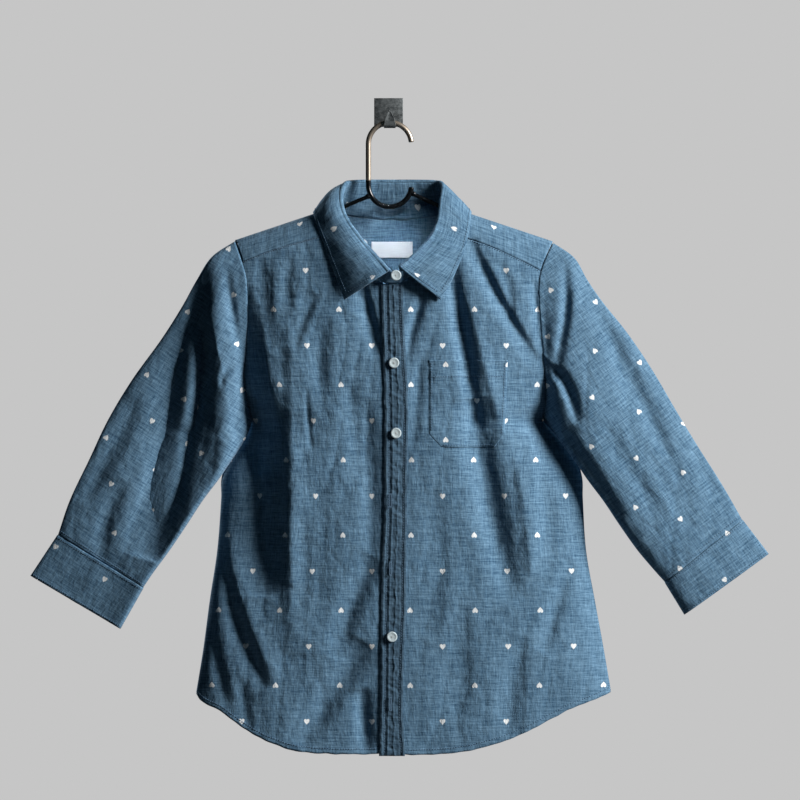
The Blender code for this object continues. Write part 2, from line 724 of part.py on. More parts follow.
def cuff(name, seam_row, end_row, collection):
    """A cuff from its seam with the sleeve to its open end."""
    start = [seam_row[i] for i in range(7)]
    middle = [(a + b) / 2 for a, b in zip(seam_row, end_row)]
    columns = [spread((start, middle, end_row), i) for i in range(7)]
    away = Vector((end_row[0] - seam_row[0], 0, end_row[1] - seam_row[1])).normalized()
    sideways = ARMHOLE_GAP * (-1 if seam_row[0] < 0 else 1)

    def place(u, v):
        f, face = ring_place(u)
        row = [curve(v) for curve in columns]
        shift = Vector((sideways, 0, ARMHOLE_GAP * (1.2 * f - 0.3)))
        point = oval(row, f, face) + shift + away * (SEAM * 1.4)
        centre = Vector(((row[0] + row[2]) / 2, row[4], (row[1] + row[3]) / 2))
        out = (point - centre).normalized()
        return point + out * CUFF_STEP * 0.5

    bm = grid(22, 2, place)
    bmesh.ops.remove_doubles(bm, verts=bm.verts, dist=0.01 * MM)
    return cloth(name, bm, around(columns), collection, CHAMBRAY_DARK)


# ---- collar ------------------------------------------------------------------
def fold_point(t):
    """The crest of the collar's roll at a share of the way round the neck."""
    x, y, z = (curve(t) for curve in fold_curves)
    forward = LAP_FORWARD * max(1 - t * LAST_ROW / 2, 0)
    return Vector((x, y - forward, z))


def stand_foot(t):
    """The neck seam under the stand."""
    foot = off_sheet(neck_x(t), neck_turn(t) / TURN_SCALE, 0)
    foot.y -= LAP_FORWARD * max(1 - t * LAST_ROW / 2, 0) + SEAM / 2
    return foot


def roll_frame(t):
    """The roll's centre, and the ways outward and up across the fold line."""
    step = 0.25 / LAST_ROW
    crest = fold_point(t)
    along = (fold_point(min(t + step, 1)) - fold_point(max(t - step, 0))).normalized()
    up = crest - stand_foot(t)
    up = (up - along * up.dot(along)).normalized()
    out = along.cross(up)
    if out.x * out_curves[0](t) + out.y * out_curves[1](t) < 0:
        out = -out
    return crest - up * LEAF_R, out, up


def stand_point(t, v):
    """The collar stand's inner face, from the neck seam up to the leaf."""
    t_on = max(t, 0)
    centre, out, up = roll_frame(t_on)
    foot = stand_foot(t_on)
    head = centre - out * LEAF_R - up * (2 * SEAM)
    way = (head - foot).normalized()
    head -= way * (SEAM + WALL * abs(way.dot(out)))
    foot += way * STAND_FOOT
    point = foot + (head - foot) * v
    point.x += max(-t, 0) * LAST_ROW * STAND_LAP
    return point


def collar_stand(collection):
    """The stand, round the neck, its right end lapped over its left end."""
    lap = 1 / LAST_ROW

    def place(u, v):
        return stand_point(-lap + u * (1 + lap), v)

    def facing(centre):
        return (centre.x - SHOULDER_X, 2 * (centre.y - HANGER_Y), 0)
    return cloth("collar_stand", grid(34, 3, place), facing, collection, CHAMBRAY, WALL, True)


def leaf_point(t, v):
    """The leaf's outer face: up from the stand, over the roll, down to its edge."""
    centre, out, up = roll_frame(t)
    if v < ROLL_SHARE:
        angle = math.pi * (1 - v / ROLL_SHARE)
        return centre + (out * math.cos(angle) + up * math.sin(angle)) * LEAF_R
    off = LEAF_OFF + (LEAF_OFF_BACK - LEAF_OFF) * max(math.sin(math.pi * t), 0) ** 4
    off += LAP_FORWARD * max(1 - t * LAST_ROW / 2, 0) * 0.5
    edge = off_sheet(leaf_x(t), leaf_turn(t) / TURN_SCALE, off)
    start = centre + out * LEAF_R
    span = edge - start
    bend = start + span * 0.35 + (out * 0.10 - up * 0.06) * span.length
    w = (v - ROLL_SHARE) / (1 - ROLL_SHARE)
    return start * (1 - w) ** 2 + bend * (2 * w * (1 - w)) + edge * w ** 2


def collar_leaf(collection):
    """The turned-down leaf."""
    def facing(centre):
        return (centre.x - SHOULDER_X, 3 * (centre.y - HANGER_Y), 20)
    return cloth("collar", grid(32, 10, leaf_point), facing, collection, CHAMBRAY_DARK)


# ---- pieces laid on the panels -----------------------------------------------
def laid_y(x, z):
    """Outer face of a cloth piece that is sewn on top of the fronts."""
    origin = Vector((x, -200, z)) * MM
    found = [sheet_y(x, z, -1) - SEAM / 2]
    for tree in front_faces:
        hit = tree.ray_cast(origin, Vector((0, 1, 0)))[0]
        if hit is not None:
            found.append(hit.y / MM)
    return min(found) - LAID_ON - WALL


def placket(collection):
    """The button band down the middle of the front."""
    def place(u, v):
        z = BAND_TOP + v * (BAND_BOTTOM - BAND_TOP)
        low, high = band_low(z), band_high(z)
        x = low + u * (high - low)
        return (x, laid_y(x, z), z)
    return cloth("placket", grid(4, 27, place), towards_front, collection, CHAMBRAY_DARK)


def pocket(collection):
    """The chest pocket, its lower corners cut off."""
    heights = column(POCKET, 0)

    def straight(index, z):
        for a, b in zip(POCKET, POCKET[1:]):
            if z <= b[0]:
                break
        return a[index] + (b[index] - a[index]) * (z - a[0]) / (b[0] - a[0])

    def place(u, v):
        z = heights[-1] + v * (heights[0] - heights[-1])
        low, high = straight(1, z), straight(2, z)
        x = low + u * (high - low)
        return (x, laid_y(x, z) - SEAM, z)
    return cloth("pocket", grid(8, 13, place), towards_front, collection)


def label(collection):
    """The neck label, inside the back of the yoke."""
    def place(u, v):
        x = LABEL_X + (u - 0.5) * LABEL_W
        z = LABEL_TOP - v * LABEL_H
        return (x, sheet_y(x, z, 1) - WALL - LAID_ON - LABEL_T, z)
    return cloth("label", grid(6, 3, place), towards_front, collection, LABEL_WHITE, LABEL_T)


def button(name, x, z, on, collection):
    """A turned button with a raised rim and a dished middle, facing forward."""
    reach = BUTTON_R * 0.8
    places = [(x + reach * a, z + reach * b) for a, b in ((0, 0), (1, 0), (-1, 0), (0, 1), (0, -1))]
    if on == "band":
        seat = min(laid_y(px, pz) for px, pz in places)
    else:
        lap = [stand_point(-0.5 / LAST_ROW, v / 8) for v in range(9)]
        near = [point.y for point in lap if abs(point.z - z) < BUTTON_R]
        seat = min(near) - WALL
    bm = bmesh.new()
    points = [bm.verts.new((r * BUTTON_R * MM, 0, h * BUTTON_T * MM)) for r, h in BUTTON_PROFILE]
    for a, b in zip(points, points[1:]):
        bm.edges.new((a, b))
    mesh = bpy.data.meshes.new(name)
    bm.to_mesh(mesh)
    bm.free()
    made = add_object(name, mesh, PEARL, collection, 35)
    screw = made.modifiers.new("turn", "SCREW")
    screw.steps = 20
    screw.render_steps = 20
    screw.use_merge_vertices = True
    screw.merge_threshold = 0.00005
    made.location = Vector((x, seat - SEAM, z)) * MM
    made.rotation_euler = (math.pi / 2, 0, 0)
    return made


# ---- hanger and wall hook ----------------------------------------------------
def arc(centre_z, start, stop, steps):
    """Points of the hook wire round a bend, angles in degrees from +X."""
    points = []
    for i in range(steps + 1):
        angle = math.radians(start + (stop - start) * i / steps)
        x = CROOK_X + CROOK_R * math.cos(angle)
        points.append((x, HANGER_Y, centre_z + CROOK_R * math.sin(angle)))
    return points


def hanger(collection):
    """The hook, bent as one wire, and an arm under each shoulder."""
    crook = arc(CROOK_Z, CROOK_END, 180, 11)
    trough = arc(TROUGH_Z, 180, 355, 11)
    wire("hanger_hook", crook + trough, WIRE_R, NICKEL, collection)
    for name, way, rows in (("hanger_arm_right", -1, ARM_RIGHT), ("hanger_arm_left", 1, ARM_LEFT)):
        points = [(x, HANGER_Y, z) for x, z in rows]
        start = abs(rows[-1][0] - SHOULDER_X)
        for i in range(1, ARM_STEPS + 1):
            x = SHOULDER_X + way * (start + (ARM_END - start) * i / ARM_STEPS)
            points.append((x, HANGER_Y, shoulder_z(x) - ARM_BELOW))
        wire(name, points, ARM_R, NICKEL, collection)


def wall_plate(collection):
    """The square plate, with the prong bent forward from its lower edge and up."""
    keys = [0.0]
    for a, b in zip(PRONG, PRONG[1:]):
        keys.append(keys[-1] + math.dist(a[:2], b[:2]))

    def place(u, v):
        i = min(round(v * (len(PRONG) - 1)), len(PRONG) - 1)
        y, z, half = PRONG[i]
        return (PRONG_X + (2 * u - 1) * half, y, z)

    bm = grid(2, len(PRONG) - 1, place)
    mesh = bpy.data.meshes.new("prong")
    bm.to_mesh(mesh)
    bm.free()
    prong = bpy.data.objects.new("prong", mesh)
    solidify = prong.modifiers.new("sheet", "SOLIDIFY")
    solidify.thickness = PRONG_T * MM
    solidify.offset = 0.0
    solidify.use_even_offset = True

    bm = bmesh.new()
    bmesh.ops.create_cube(bm, size=1.0)
    bmesh.ops.scale(bm, verts=bm.verts, vec=(PLATE_SIDE * MM, PLATE_T * MM, PLATE_SIDE * MM))
    bmesh.ops.translate(bm, verts=bm.verts, vec=(0, -PLATE_T / 2 * MM, 0))
    mesh = bpy.data.meshes.new("wall_plate")
    bm.to_mesh(mesh)
    bm.free()
    plate = add_object("wall_plate", mesh, STEEL_GREY, collection, 30)
    union = plate.modifiers.new("prong", "BOOLEAN")
    union.operation = "UNION"
    union.object = prong
    return plate, prong


# ---- build -------------------------------------------------------------------
def main():
    for old in list(bpy.data.objects):
        bpy.data.objects.remove(old, do_unlink=True)
    shirt = bpy.data.collections.new("hung_shirt")
    cutters = bpy.data.collections.new("cutters")
    bpy.context.scene.collection.children.link(shirt)
    bpy.context.scene.collection.children.link(cutters)

    neck_right = tuple(neck_edge(i / LAST_ROW) for i in range(CORNER_RIGHT, -1, -1))
    neck_left = tuple(neck_edge(i / LAST_ROW) for i in range(CORNER_LEFT, LAST_ROW + 1))
    under_band = BAND_TUCK + 2 * SEAM
    neck_left += ((band_low(NECK_FRONT_Z) + under_band, NECK_FRONT_Z),)
    neck_right = neck_right[:-1] + ((band_low(NECK_FRONT_Z) + BAND_TUCK, NECK_FRONT_Z),)
    front("front_right", ARMHOLE_RIGHT, SIDE_RIGHT, YOKE_SEAM_RIGHT, neck_right,
          HEM_RIGHT, BAND_TUCK, shirt)
    front("front_left", ARMHOLE_LEFT, SIDE_LEFT, YOKE_SEAM_LEFT, neck_left,
          HEM_LEFT, under_band, shirt)
    back_panel(shirt)
    yoke(shirt)
    sleeve("sleeve_right", SLEEVE_RIGHT, ARMHOLE_RIGHT, SLEEVE_FOLDS_RIGHT, shirt)
    sleeve("sleeve_left", SLEEVE_LEFT, ARMHOLE_LEFT, SLEEVE_FOLDS_LEFT, shirt)
    cuff("cuff_right", SLEEVE_RIGHT[-1], CUFF_END_RIGHT, shirt)
    cuff("cuff_left", SLEEVE_LEFT[-1], CUFF_END_LEFT, shirt)
    collar_stand(shirt)
    collar_leaf(shirt)
    placket(shirt)
    pocket(shirt)
    label(shirt)
    for name, x, z, on in BUTTONS:
        button(name, x, z, on, shirt)
    hanger(shirt)
    prong = wall_plate(shirt)[1]
    cutters.objects.link(prong)
    prong.hide_render = True
    prong.display_type = "WIRE"


main()
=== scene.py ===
"""A casual chambray shirt printed with small hearts, hung on a wire hanger and wall hook.

The wearer's right is at -X, the front faces -Y, +Z is up, and the origin is the middle
of the wall plate's back face. Lengths inside the functions are millimetres; MM turns
them to metres. Each cloth piece is laid on the same form as its solid, with its own
creases, wall, print and sewing.
"""
import math

import bmesh
import bpy
import numpy as np
from mathutils import Matrix, Vector, noise
from mathutils.bvhtree import BVHTree


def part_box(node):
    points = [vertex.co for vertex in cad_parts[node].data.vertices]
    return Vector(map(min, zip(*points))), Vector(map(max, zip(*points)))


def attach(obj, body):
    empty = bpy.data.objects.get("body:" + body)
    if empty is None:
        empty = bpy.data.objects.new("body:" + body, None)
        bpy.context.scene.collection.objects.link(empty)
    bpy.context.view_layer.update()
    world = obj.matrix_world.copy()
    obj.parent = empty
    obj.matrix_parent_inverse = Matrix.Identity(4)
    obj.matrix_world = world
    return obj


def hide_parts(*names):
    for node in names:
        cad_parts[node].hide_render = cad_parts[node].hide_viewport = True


bl_info = {
    "name": "Hung chambray shirt",
    "version": (1, 0, 0),
    "blender": (4, 5, 0),
    "location": "3D View > Sidebar > Shirt",
    "description": "Dresses the hung shirt's solids in cloth, print, sewing and metal",
    "category": "Object",
}

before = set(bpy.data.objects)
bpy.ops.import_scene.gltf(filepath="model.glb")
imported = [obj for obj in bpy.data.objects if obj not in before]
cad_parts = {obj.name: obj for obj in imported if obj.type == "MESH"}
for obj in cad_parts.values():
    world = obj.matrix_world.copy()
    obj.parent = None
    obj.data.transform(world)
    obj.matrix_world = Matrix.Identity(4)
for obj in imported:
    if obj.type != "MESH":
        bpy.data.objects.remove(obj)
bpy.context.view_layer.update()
MM = 0.001

# ---- driving dimensions, as in the solids ------------------------------------
WALL = 1.1  # cloth wall
SEAM = 0.3  # space between sewn pieces
LAID_ON = 0.5  # space under a piece sewn on top
SHOULDER_X = 4.0  # middle of the shoulders
UNDERARM_Z = -353.0  # lowest point of the armholes
SHOULDER_TOP = -116.0  # height of the shoulder line beside the collar
SHOULDER_REACH = 88.0  # distance from the middle to that place
SHOULDER_SLOPE = 0.335  # fall of the shoulder line for each unit outward
FRONT_FALL = 110.0  # fall over which the front sheet reaches its full depth
BACK_FALL = 45.0  # the same for the back sheet
BACK_Y = -7.0  # the back sheet's plane
BACK_SEAM_Z = -184.0  # height of the back yoke seam
NECK_FRONT_Z = -196.5  # height of the neck at the button band
SIDE_ROUND = 2.6  # exponent of the level section: 2 is an ellipse
SHOULDER_ROUND = 4.0  # the same at the shoulders
SIDE_GAP = 0.8  # more space where front and back meet at a side
COLUMN_LEAN = 1.45  # above 1 gathers a front's columns towards its side
HEM_LIFT_BACK = 2.0  # the back hem lies this much above the front hem
BAND_TUCK = 3.0  # the right front's reach under the button band
STAND_LAP = 17.0  # the collar stand's right end reaches this far past its left
LAP_FORWARD = 2.2  # and lies this far in front of it
STAND_FOOT = 0.8  # the stand's lower edge starts this far above the neck seam
WIRE_R = 3.0  # hanger hook wire radius
ARM_R = 2.4  # hanger arm wire radius
SHADED_WIRE_Z = -77.0  # height below which the wire is drawn black, glossy and not metallic: painted shade and reflection inside the collar
HANGER_Y = -26.0  # plane of the hanger
CROOK_R = 24.5  # radius of the hook's crook and of its lower bend
CROOK_X = 1.5  # middle of both bends
CROOK_Z = -37.0  # height of the crook's centre
TROUGH_Z = -84.0  # height of the lower bend's centre
CROOK_END = 5.0  # degrees above level where the crook is cut off
TROUGH_END = 355.0  # degrees where the lower bend is cut off
WELD_SIZE = (3.6, 3.1, 3.1)  # half widths of the weld at each arm
ARM_BELOW = 5.3  # hanger arm's axis below the shoulder line
ARM_END = 158.0  # the arms' reach from the middle
CUFF_WALL = 1.5  # cloth wall of the cuffs
CUFF_STEP = 1.2  # the cuff's outer face stands this far out of the sleeve
LEAF_R = 3.0  # radius of the collar's roll
LEAF_OFF = 2.6  # leaf's outer face off the panel under it, in front
LEAF_OFF_BACK = 2.8  # the same at the back
BUTTON_R = 6.0  # button radius
BUTTON_T = 2.6  # button thickness
LABEL_W = 47.0  # neck label width
LABEL_H = 18.5  # neck label height
LABEL_T = 0.6  # neck label thickness
LABEL_X = 4.0  # neck label middle
LABEL_TOP = -148.0  # neck label upper edge
SEAM_SHARE = 0.58  # yoke seam's share of a front's top edge
ARMHOLE_SHARE = 0.38  # armhole's share of its side edge
YOKE_SHARE = 6 / 32  # each shoulder's share of the yoke's front edge
ROLL_SHARE = 0.4  # the roll's share of the collar leaf
TURN_SCALE = 60.0  # millimetres for a turn of 1, so that x and turn compare
CORNER_RIGHT = 3  # the collar row where the right front yoke seam ends
CORNER_LEFT = 13  # the collar row where the left front yoke seam ends


# ---- tables ------------------------------------------------------------------
def table(width, text):
    """Rows of that many numbers, from text with comments after a #."""
    numbers = [float(n) for line in text.splitlines() for n in line.split("#")[0].split()]
    return tuple(zip(*[iter(numbers)] * width))


# Sides of the sheets: height, wearer's right side, wearer's left side, seam depth.
# Above the armholes' lowest point the sides are those the sheets would have.
SIDES = table(4, """
-742 -225 259 -20  -664 -219.5 253.7 -20  -614 -211.5 245.7 -19.5  -557 -204 235.4 -19
-500 -195.5 225.5 -18  -440 -191 221.8 -16.5  -420 -190 220.5 -15.5  -402 -182 214 -15
-385 -171 202.5 -15  -368 -160.5 190 -15.5  -353 -155 176 -16.5  -338 -166 185 -18
-310 -181 195 -20  -260 -192 203 -24  -200 -197 206 -26  -110 -199 208 -26""")
# Depth of the front sheet at its middle: height, depth.
FRONT_DEPTH = table(2, """
-742 -52  -640 -54  -520 -58  -400 -62  -300 -62  -200 -60  -110 -58""")
# Cut edges seen from the front: x, z from the shoulder down to the hem corner.
ARMHOLE_RIGHT = table(2, """
-175 -147.8  -167 -170.4  -161.3 -191  -160.2 -230  -162.5 -276.5  -164.7 -300  -161.3 -325
-155 -353""")
ARMHOLE_LEFT = table(2, """
187 -149.3  174.4 -177  170.6 -195  171.6 -230  175.5 -276.5  178.5 -305  179 -328  176 -353""")
SIDE_RIGHT = table(2, """
-155 -353  -165.5 -368  -176.5 -385  -186 -402  -191 -420  -191 -440  -195.5 -500  -204 -557
-211.5 -614  -219.5 -664""")
SIDE_LEFT = table(2, """
176 -353  195 -368  208 -385  217 -402  221.5 -420  221.8 -440  225.5 -500  235.4 -557
245.7 -614  253.7 -662""")
HEM_RIGHT = table(2, """
-219.5 -664  -214 -672  -193.2 -682.3  -161.3 -705.1  -139.7 -716.5  -106.6 -727.9  -60 -731.5
-7.8 -731""")
HEM_LEFT = table(2, """
253.7 -662  240 -668  204.6 -682  160 -705  132.8 -716.5  90.6 -727.9  50 -732  -7.3 -732""")
# Front yoke seams from the armhole to the neck, where a collar row ends them.
YOKE_SEAM_RIGHT = table(2, """
-166.8 -171.6  -134 -159  -95.2 -147.6""")
YOKE_SEAM_LEFT = table(2, """
173 -181.8  148 -169  110 -152.2""")
# Button band: height, wearer's right edge, wearer's left edge.
BAND = table(3, """
-733.6 -10.8 18.8  -671 -9.7 16.5  -557 -8.6 20  -443 -5.1 21.1  -329 -5.1 22.2  -215 -8.6 16.5
-196.5 -8.6 17""")
BAND_TOP = -198.0
BAND_BOTTOM = -733.6
# Folds: start, middle and end of a valley, its half width on each side of it, towards
# -X and towards +X on a fold that runs down, and its depth; below 0 it is a ridge.
FRONT_FOLDS = table(9, """
-173 -199 -164 -300 -149 -413 13.7 14.8 12  # from the right armhole down
-143 -215 -133 -308 -115 -400 6.8 16 -4
-157 -323 -148 -426 -142 -552 25.1 14.8 13.5  # its wide lower part
-137 -297 -116 -409 -118 -540 8 18.2 -4  # its lit ridge
-194 -473 -178 -560 -140 -657 10.3 5.1 6.5  # right side, leaning in
-184 -475 -166 -557 -127 -653 4.6 11.4 -3  # its lit ridge
-210 -555 -199 -614 -184 -678 6.8 5.7 4.5
-199 -555 -186 -614 -172 -671 5.7 10.3 -2
-172 -642 -164 -673 -161 -707 9.1 6.8 2.5
-30 -197 -19 -237 -9 -280 10.3 4.6 6  # under the collar point
-25 -327 -20 -420 -19 -540 11.4 9.1 3.6  # beside the band
-111 -215 -109 -409 -111 -620 9.1 62.7 -5  # the flat panel, turned a little to its side
-189 -443 -199 -557 -208 -657 6.8 14.8 -5
-17 -507 -42 -564 -61 -623 13.7 10.3 5  # from the band down to the hem
-26 -605 -61 -659 -102 -723 16 11.4 6
-30 -657 -28 -694 -25 -730 9.1 9.1 6
-83 -208 -95 -235 -107 -270 10.3 5.7 3.5
-75 -235 -78 -283 -75 -335 11.4 9.1 3
-93 -315 -91 -352 -87 -388 3.2 2.8 1.5
-144 -167 -141 -215 -135 -274 10.3 8 3.5
-112 -167 -115 -209 -110 -255 9.1 6.8 2.2
-80 -409 -76 -511 -84 -602 17.1 12.5 2.6
-44 -306 -39 -363 -37 -420 9.1 8 2.5
-101 -443 -97 -511 -101 -591 9.1 8 1.6
69 -167 85 -258 102 -365 10.3 8 9.5  # from the collar down the left
94 -327 112 -431 140 -561 16 16 11.5
93 -215 115 -308 134 -380 6.8 13.7 -3  # its lit ridge
145 -392 158 -466 164 -534 6.8 16 -3
91 -142 125 -213 170 -286 9.1 5.7 6.5  # from the shoulder to the armhole
45 -199 28 -243 18 -290 5.7 5.7 5.5  # beside the band
18 -329 15 -409 19 -494 6.8 9.1 3
208 -509 192 -566 174 -616 10.3 8 5
227 -555 238 -608 243 -662 6.8 9.1 4
152 -598 141 -659 137 -714 13.7 10.3 4
164 -335 188 -388 224 -445 13.7 16 10  # under the arm
51 -431 58 -511 48 -602 13.7 10.3 2.2
77 -557 84 -620 79 -696 13.7 10.3 2.2
174 -374 182 -466 177 -545 11.4 10.3 3.5
36 -283 31 -335 27 -386 5.7 5.7 2.4
124 -172 136 -198 141 -238 5.7 5.7 2.2
165 -193 169 -232 174 -274 5.1 4.6 4""")
# Folds of the back, of the same kinds.
BACK_FOLDS = table(9, """
-61 -210 -80 -340 -96 -479 17.1 21.7 6  64 -205 86 -330 104 -500 18.2 23.9 6.5
-150 -300 -140 -420 -150 -560 14.8 17.1 5.5  160 -310 152 -430 170 -569 14.8 17.1 5.5
4 -420 10 -540 2 -699 19.4 21.7 4.5  -120 -210 -128 -270 -150 -340 9.1 11.4 3.5
124 -210 134 -270 158 -330 9.1 11.4 3.5  -28 -190 -34 -250 -30 -330 8 10.3 2.5
34 -190 40 -260 44 -340 8 10.3 2.5  -110 -520 -96 -600 -80 -699 13.7 11.4 4
96 -540 88 -620 94 -710 11.4 13.7 3.5  -185 -481 -160 -560 -131 -640 8 6.8 3
205 -481 180 -569 150 -650 8 6.8 3""")
# Folds of the sleeves' front and, mirrored in depth, of their back.
SLEEVE_FOLDS_RIGHT = table(9, """
-214 -165 -221 -251 -230 -363 13.7 13.7 10  # down the whole sleeve
-222 -240 -238 -374 -272 -511 27.4 19.4 14
-197 -194 -201 -272 -194 -365 6.8 13.7 -3  # its lit ridge
-185 -169 -178 -218 -168 -272 5.7 4.6 5  # beside the armhole
-188 -315 -185 -296 -167 -282 4 4 3
-162 -333 -173 -353 -188 -374 5.7 5.7 3
-286 -329 -315 -386 -349 -445 12.5 10.3 4
-242 -272 -260 -323 -281 -374 11.4 9.1 2
-306 -420 -320 -466 -333 -511 11.4 9.1 3
-258 -374 -272 -431 -295 -488 9.1 8 2""")
SLEEVE_FOLDS_LEFT = table(9, """
166 -172 172 -221 178 -274 5.1 5.1 5.5  # beside the armhole
197 -169 202 -221 190 -288 5.7 5.7 6.5
176 -292 199 -308 215 -356 5.7 6.8 7  # round the underarm
215 -185 275 -299 344 -451 10.3 9.1 4.5  # along the outer edge
202 -158 225 -192 248 -233 6.8 6.8 3
198 -363 230 -409 266 -466 9.1 6.8 4  # along the under edge
253 -249 264 -295 287 -352 11.4 9.1 2.5
241 -352 275 -409 314 -466 10.3 9.1 2.5
344 -363 362 -409 385 -457 10.3 8 2.5
292 -386 319 -431 344 -477 8 9.1 2""")
# Sleeves, from the armhole to the cuff seam: outer edge x, z, inner edge x, z,
# depth of both edges, fullness in front, fullness behind.
SLEEVE_RIGHT = table(7, """
-175 -147.8 -155 -353 -21.5 16 10  -201.2 -165.9 -161.3 -369.9 -30 19 12
-218.3 -192.1 -170.4 -385.9 -32 22 13  -235.4 -222.9 -181.8 -403 -33 23 13
-259.4 -260.5 -194.4 -421.2 -33 22 13  -292.4 -306.1 -211.5 -444 -33 20 13
-319.8 -351.7 -230.9 -473.7 -33 18 12  -341.4 -397.3 -250.2 -502.2 -33 17 12
-363.1 -442.9 -266.2 -523.8 -33 15 11  -376.8 -482.8 -278.7 -542.1 -33 14 11""")
SLEEVE_LEFT = table(7, """
187 -149.3 176 -353 -21.5 16 10  211.5 -167 186.4 -364.2 -30 19 12
226.3 -192.1 198.9 -381.3 -32 22 13  244.5 -218.3 212.6 -399.6 -33 23 13
271.9 -252.5 227.4 -421.2 -33 22 13  300.4 -294.7 244.5 -444 -33 20 13
327.8 -341.4 262.8 -471.4 -33 18 12  352.8 -382.5 282.2 -498.8 -33 17 12
380.2 -425.8 299.3 -519.3 -33 15 11  403 -465.7 314.6 -536.4 -33 14 11""")
# Cuff ends, with the same columns.
CUFF_END_RIGHT = (-407.6, -529.5, -305, -588.8, -33, 13, 11)
CUFF_END_LEFT = (432.6, -504.5, 336.9, -572.9, -33, 13, 11)
# Collar, round the neck from the wearer's right front to the left front:
# fold x, y, z; leaf's edge x, z; neck seam x, z; sheet that the edge and the seam
# lie on, -1 the front and 1 the back; way outward x, y.
COLLAR = table(10, """
1.7 -72 -181.3 -49.6 -214.9 -4 -196 -1 -0.15 -1
-11.4 -68 -165.9 -58.7 -192.1 -22 -184.5 -1 -0.45 -0.9
-31 -60 -143.1 -69 -163.6 -43 -165 -1 -0.75 -0.65
-46.5 -49.5 -120.3 -77.5 -141 -58.5 -138 -1 -0.93 -0.4
-52 -38 -100 -82.5 -126.5 -62 -120 -1 -1 -0.15  -49 -26 -81.5 -85 -115.3 -61 -108.4 -1 -1 0.15
-41 -16.5 -77.8 -78 -127 -53 -116 1 -0.75 0.7  -20 -11.5 -77 -45 -135 -28 -121 1 -0.15 1
5.1 -11 -77 5 -137 4.5 -122 1 0 1  30 -11.5 -77 55 -135 37 -121 1 0.15 1
53 -16.5 -77.8 86 -127 62 -116 1 0.75 0.7  60 -26 -81.5 93 -116 70 -108.8 -1 1 0.15
57.5 -38 -101 92.5 -127.5 71 -121 -1 1 -0.15
54.5 -49.5 -124.8 90.5 -141.5 67.5 -139 -1 0.93 -0.4
45 -60 -145.4 85 -162.5 53 -165 -1 0.75 -0.65  24 -68 -167 72.4 -192.1 31 -184.5 -1 0.45 -0.9
12.5 -72 -176.5 58.7 -214.9 13 -196 -1 0.15 -1""")
LAST_ROW = len(COLLAR) - 1
# Hanger arms from the hook to the shoulder line: x, z.
ARM_RIGHT = table(2, """
-23 -96.8  -45 -106  -62 -114.2""")
ARM_LEFT = table(2, """
27.5 -93.8  50 -104  70 -114.2""")
# Pocket outline: height, wearer's right edge, wearer's left edge.
POCKET = table(3, """
-382.5 60 120.3  -367 45.8 131.8  -283.5 45.7 135.5""")
# Buttons: name, x, z.
BUTTONS = (
    ("button_stand", 8.6, -187.5),
    ("button_chest", 6.3, -286.7),
    ("button_bust", 8.6, -366.5),
    ("button_low", 4, -597.9),
)
# Half a button's outline: shares of its radius and of its thickness.
BUTTON_PROFILE = table(2, """
0 0.84  0.4 0.85  0.56 0.88  0.66 0.94  0.76 0.99  0.86 1  0.95 0.9  1 0.66  0.98 0.36  0.9 0.1
0.76 0  0 0""")
BUTTONHOLES = ((2.3, -442.9), (2.3, -520.4), (2.3, -674.3))
PLATE_SIDE = 33.0  # wall plate, square
PLATE_T = 1.2  # its sheet metal
PLATE_EDGE = 0.3  # its rounded edge
PRONG_X = 1.4  # middle of the prong
PRONG_T = 1.0  # its thickness
PRONG_EDGE = 0.25  # its rounded edge
# Prong, from inside the plate out and up to its point: depth, height, half width.
PRONG = table(3, """
-0.6 -10 6.6  -0.6 -15 6.6  -1.3 -16.9 6.6  -3.2 -17.4 6.6  -28.2 -17.4 6.6  -29.9 -16.9 6.6
-30.5 -15.2 6.6  -30.5 -9 5.4  -30.5 -4 3.4  -30.5 -0.4 1.7  -30.5 0.8 0.7""")
# Stage, in metres.
FRAME_WIDTH = 0.912  # what the camera sees across the shirt
FRAME_X = 0.0131
FRAME_Z = -0.3289
CLOTH_Y = -0.03
CAMERA_AWAY = 8.0
FLOOR_Z = -1.9
FLOOR_R = 1.15
FILL = 0.0115  # the room's own light
FILL_COLOUR = (0.40, 0.76, 1.0, 1.0)
# Lamps: name, place, aim, size, power, colour, spread in degrees, glints. The one
# behind shows the back in other views and puts no glint on the wire's rim.
LAMPS = (
    ("key", (3.56, -1.54, 1.29), (0.0, -0.03, -0.35), 1.5, 22.0, (1.0, 0.98, 0.96), 40),
    ("front", (0.5, -2.9, 0.9), (0.0, 0.0, -0.25), 0.9, 0.9, (0.60, 0.84, 1.0), 180),
    ("behind", (-2.2, 3.2, 1.2), (0.0, 0.0, -0.35), 2.0, 22.0, (1.0, 0.99, 0.97), 60, False),
    ("neck", (0.12, -1.3, 0.45), (0.006, -0.02, -0.150), 0.03, 0.012, (0.90, 0.95, 1.0), 4),
)


# ---- curves through tables ---------------------------------------------------
def smooth(keys, values, key):
    """Values at an array of keys, on a smooth curve through the rows."""
    keys, values = np.asarray(keys, float), np.asarray(values, float)
    count = len(keys)
    after = np.minimum(np.arange(count) + 1, count - 1)
    before = np.maximum(np.arange(count) - 1, 0)
    slopes = (values[after] - values[before]) / (keys[after] - keys[before])
    key = np.clip(key, keys[0], keys[-1])
    i = np.clip(np.searchsorted(keys, key, side="right") - 1, 0, count - 2)
    step = keys[i + 1] - keys[i]
    t = (key - keys[i]) / step
    a = 2 * t ** 3 - 3 * t ** 2 + 1
    b = t ** 3 - 2 * t ** 2 + t
    ends = a * values[i] + (1 - a) * values[i + 1]
    return ends + (b * slopes[i] + (t ** 3 - t ** 2) * slopes[i + 1]) * step


def column(table, index):
    return [row[index] for row in table]


def table_curve(table, index):
    """A function of the table's first column that gives another column."""
    return lambda key: smooth(column(table, 0), column(table, index), key)


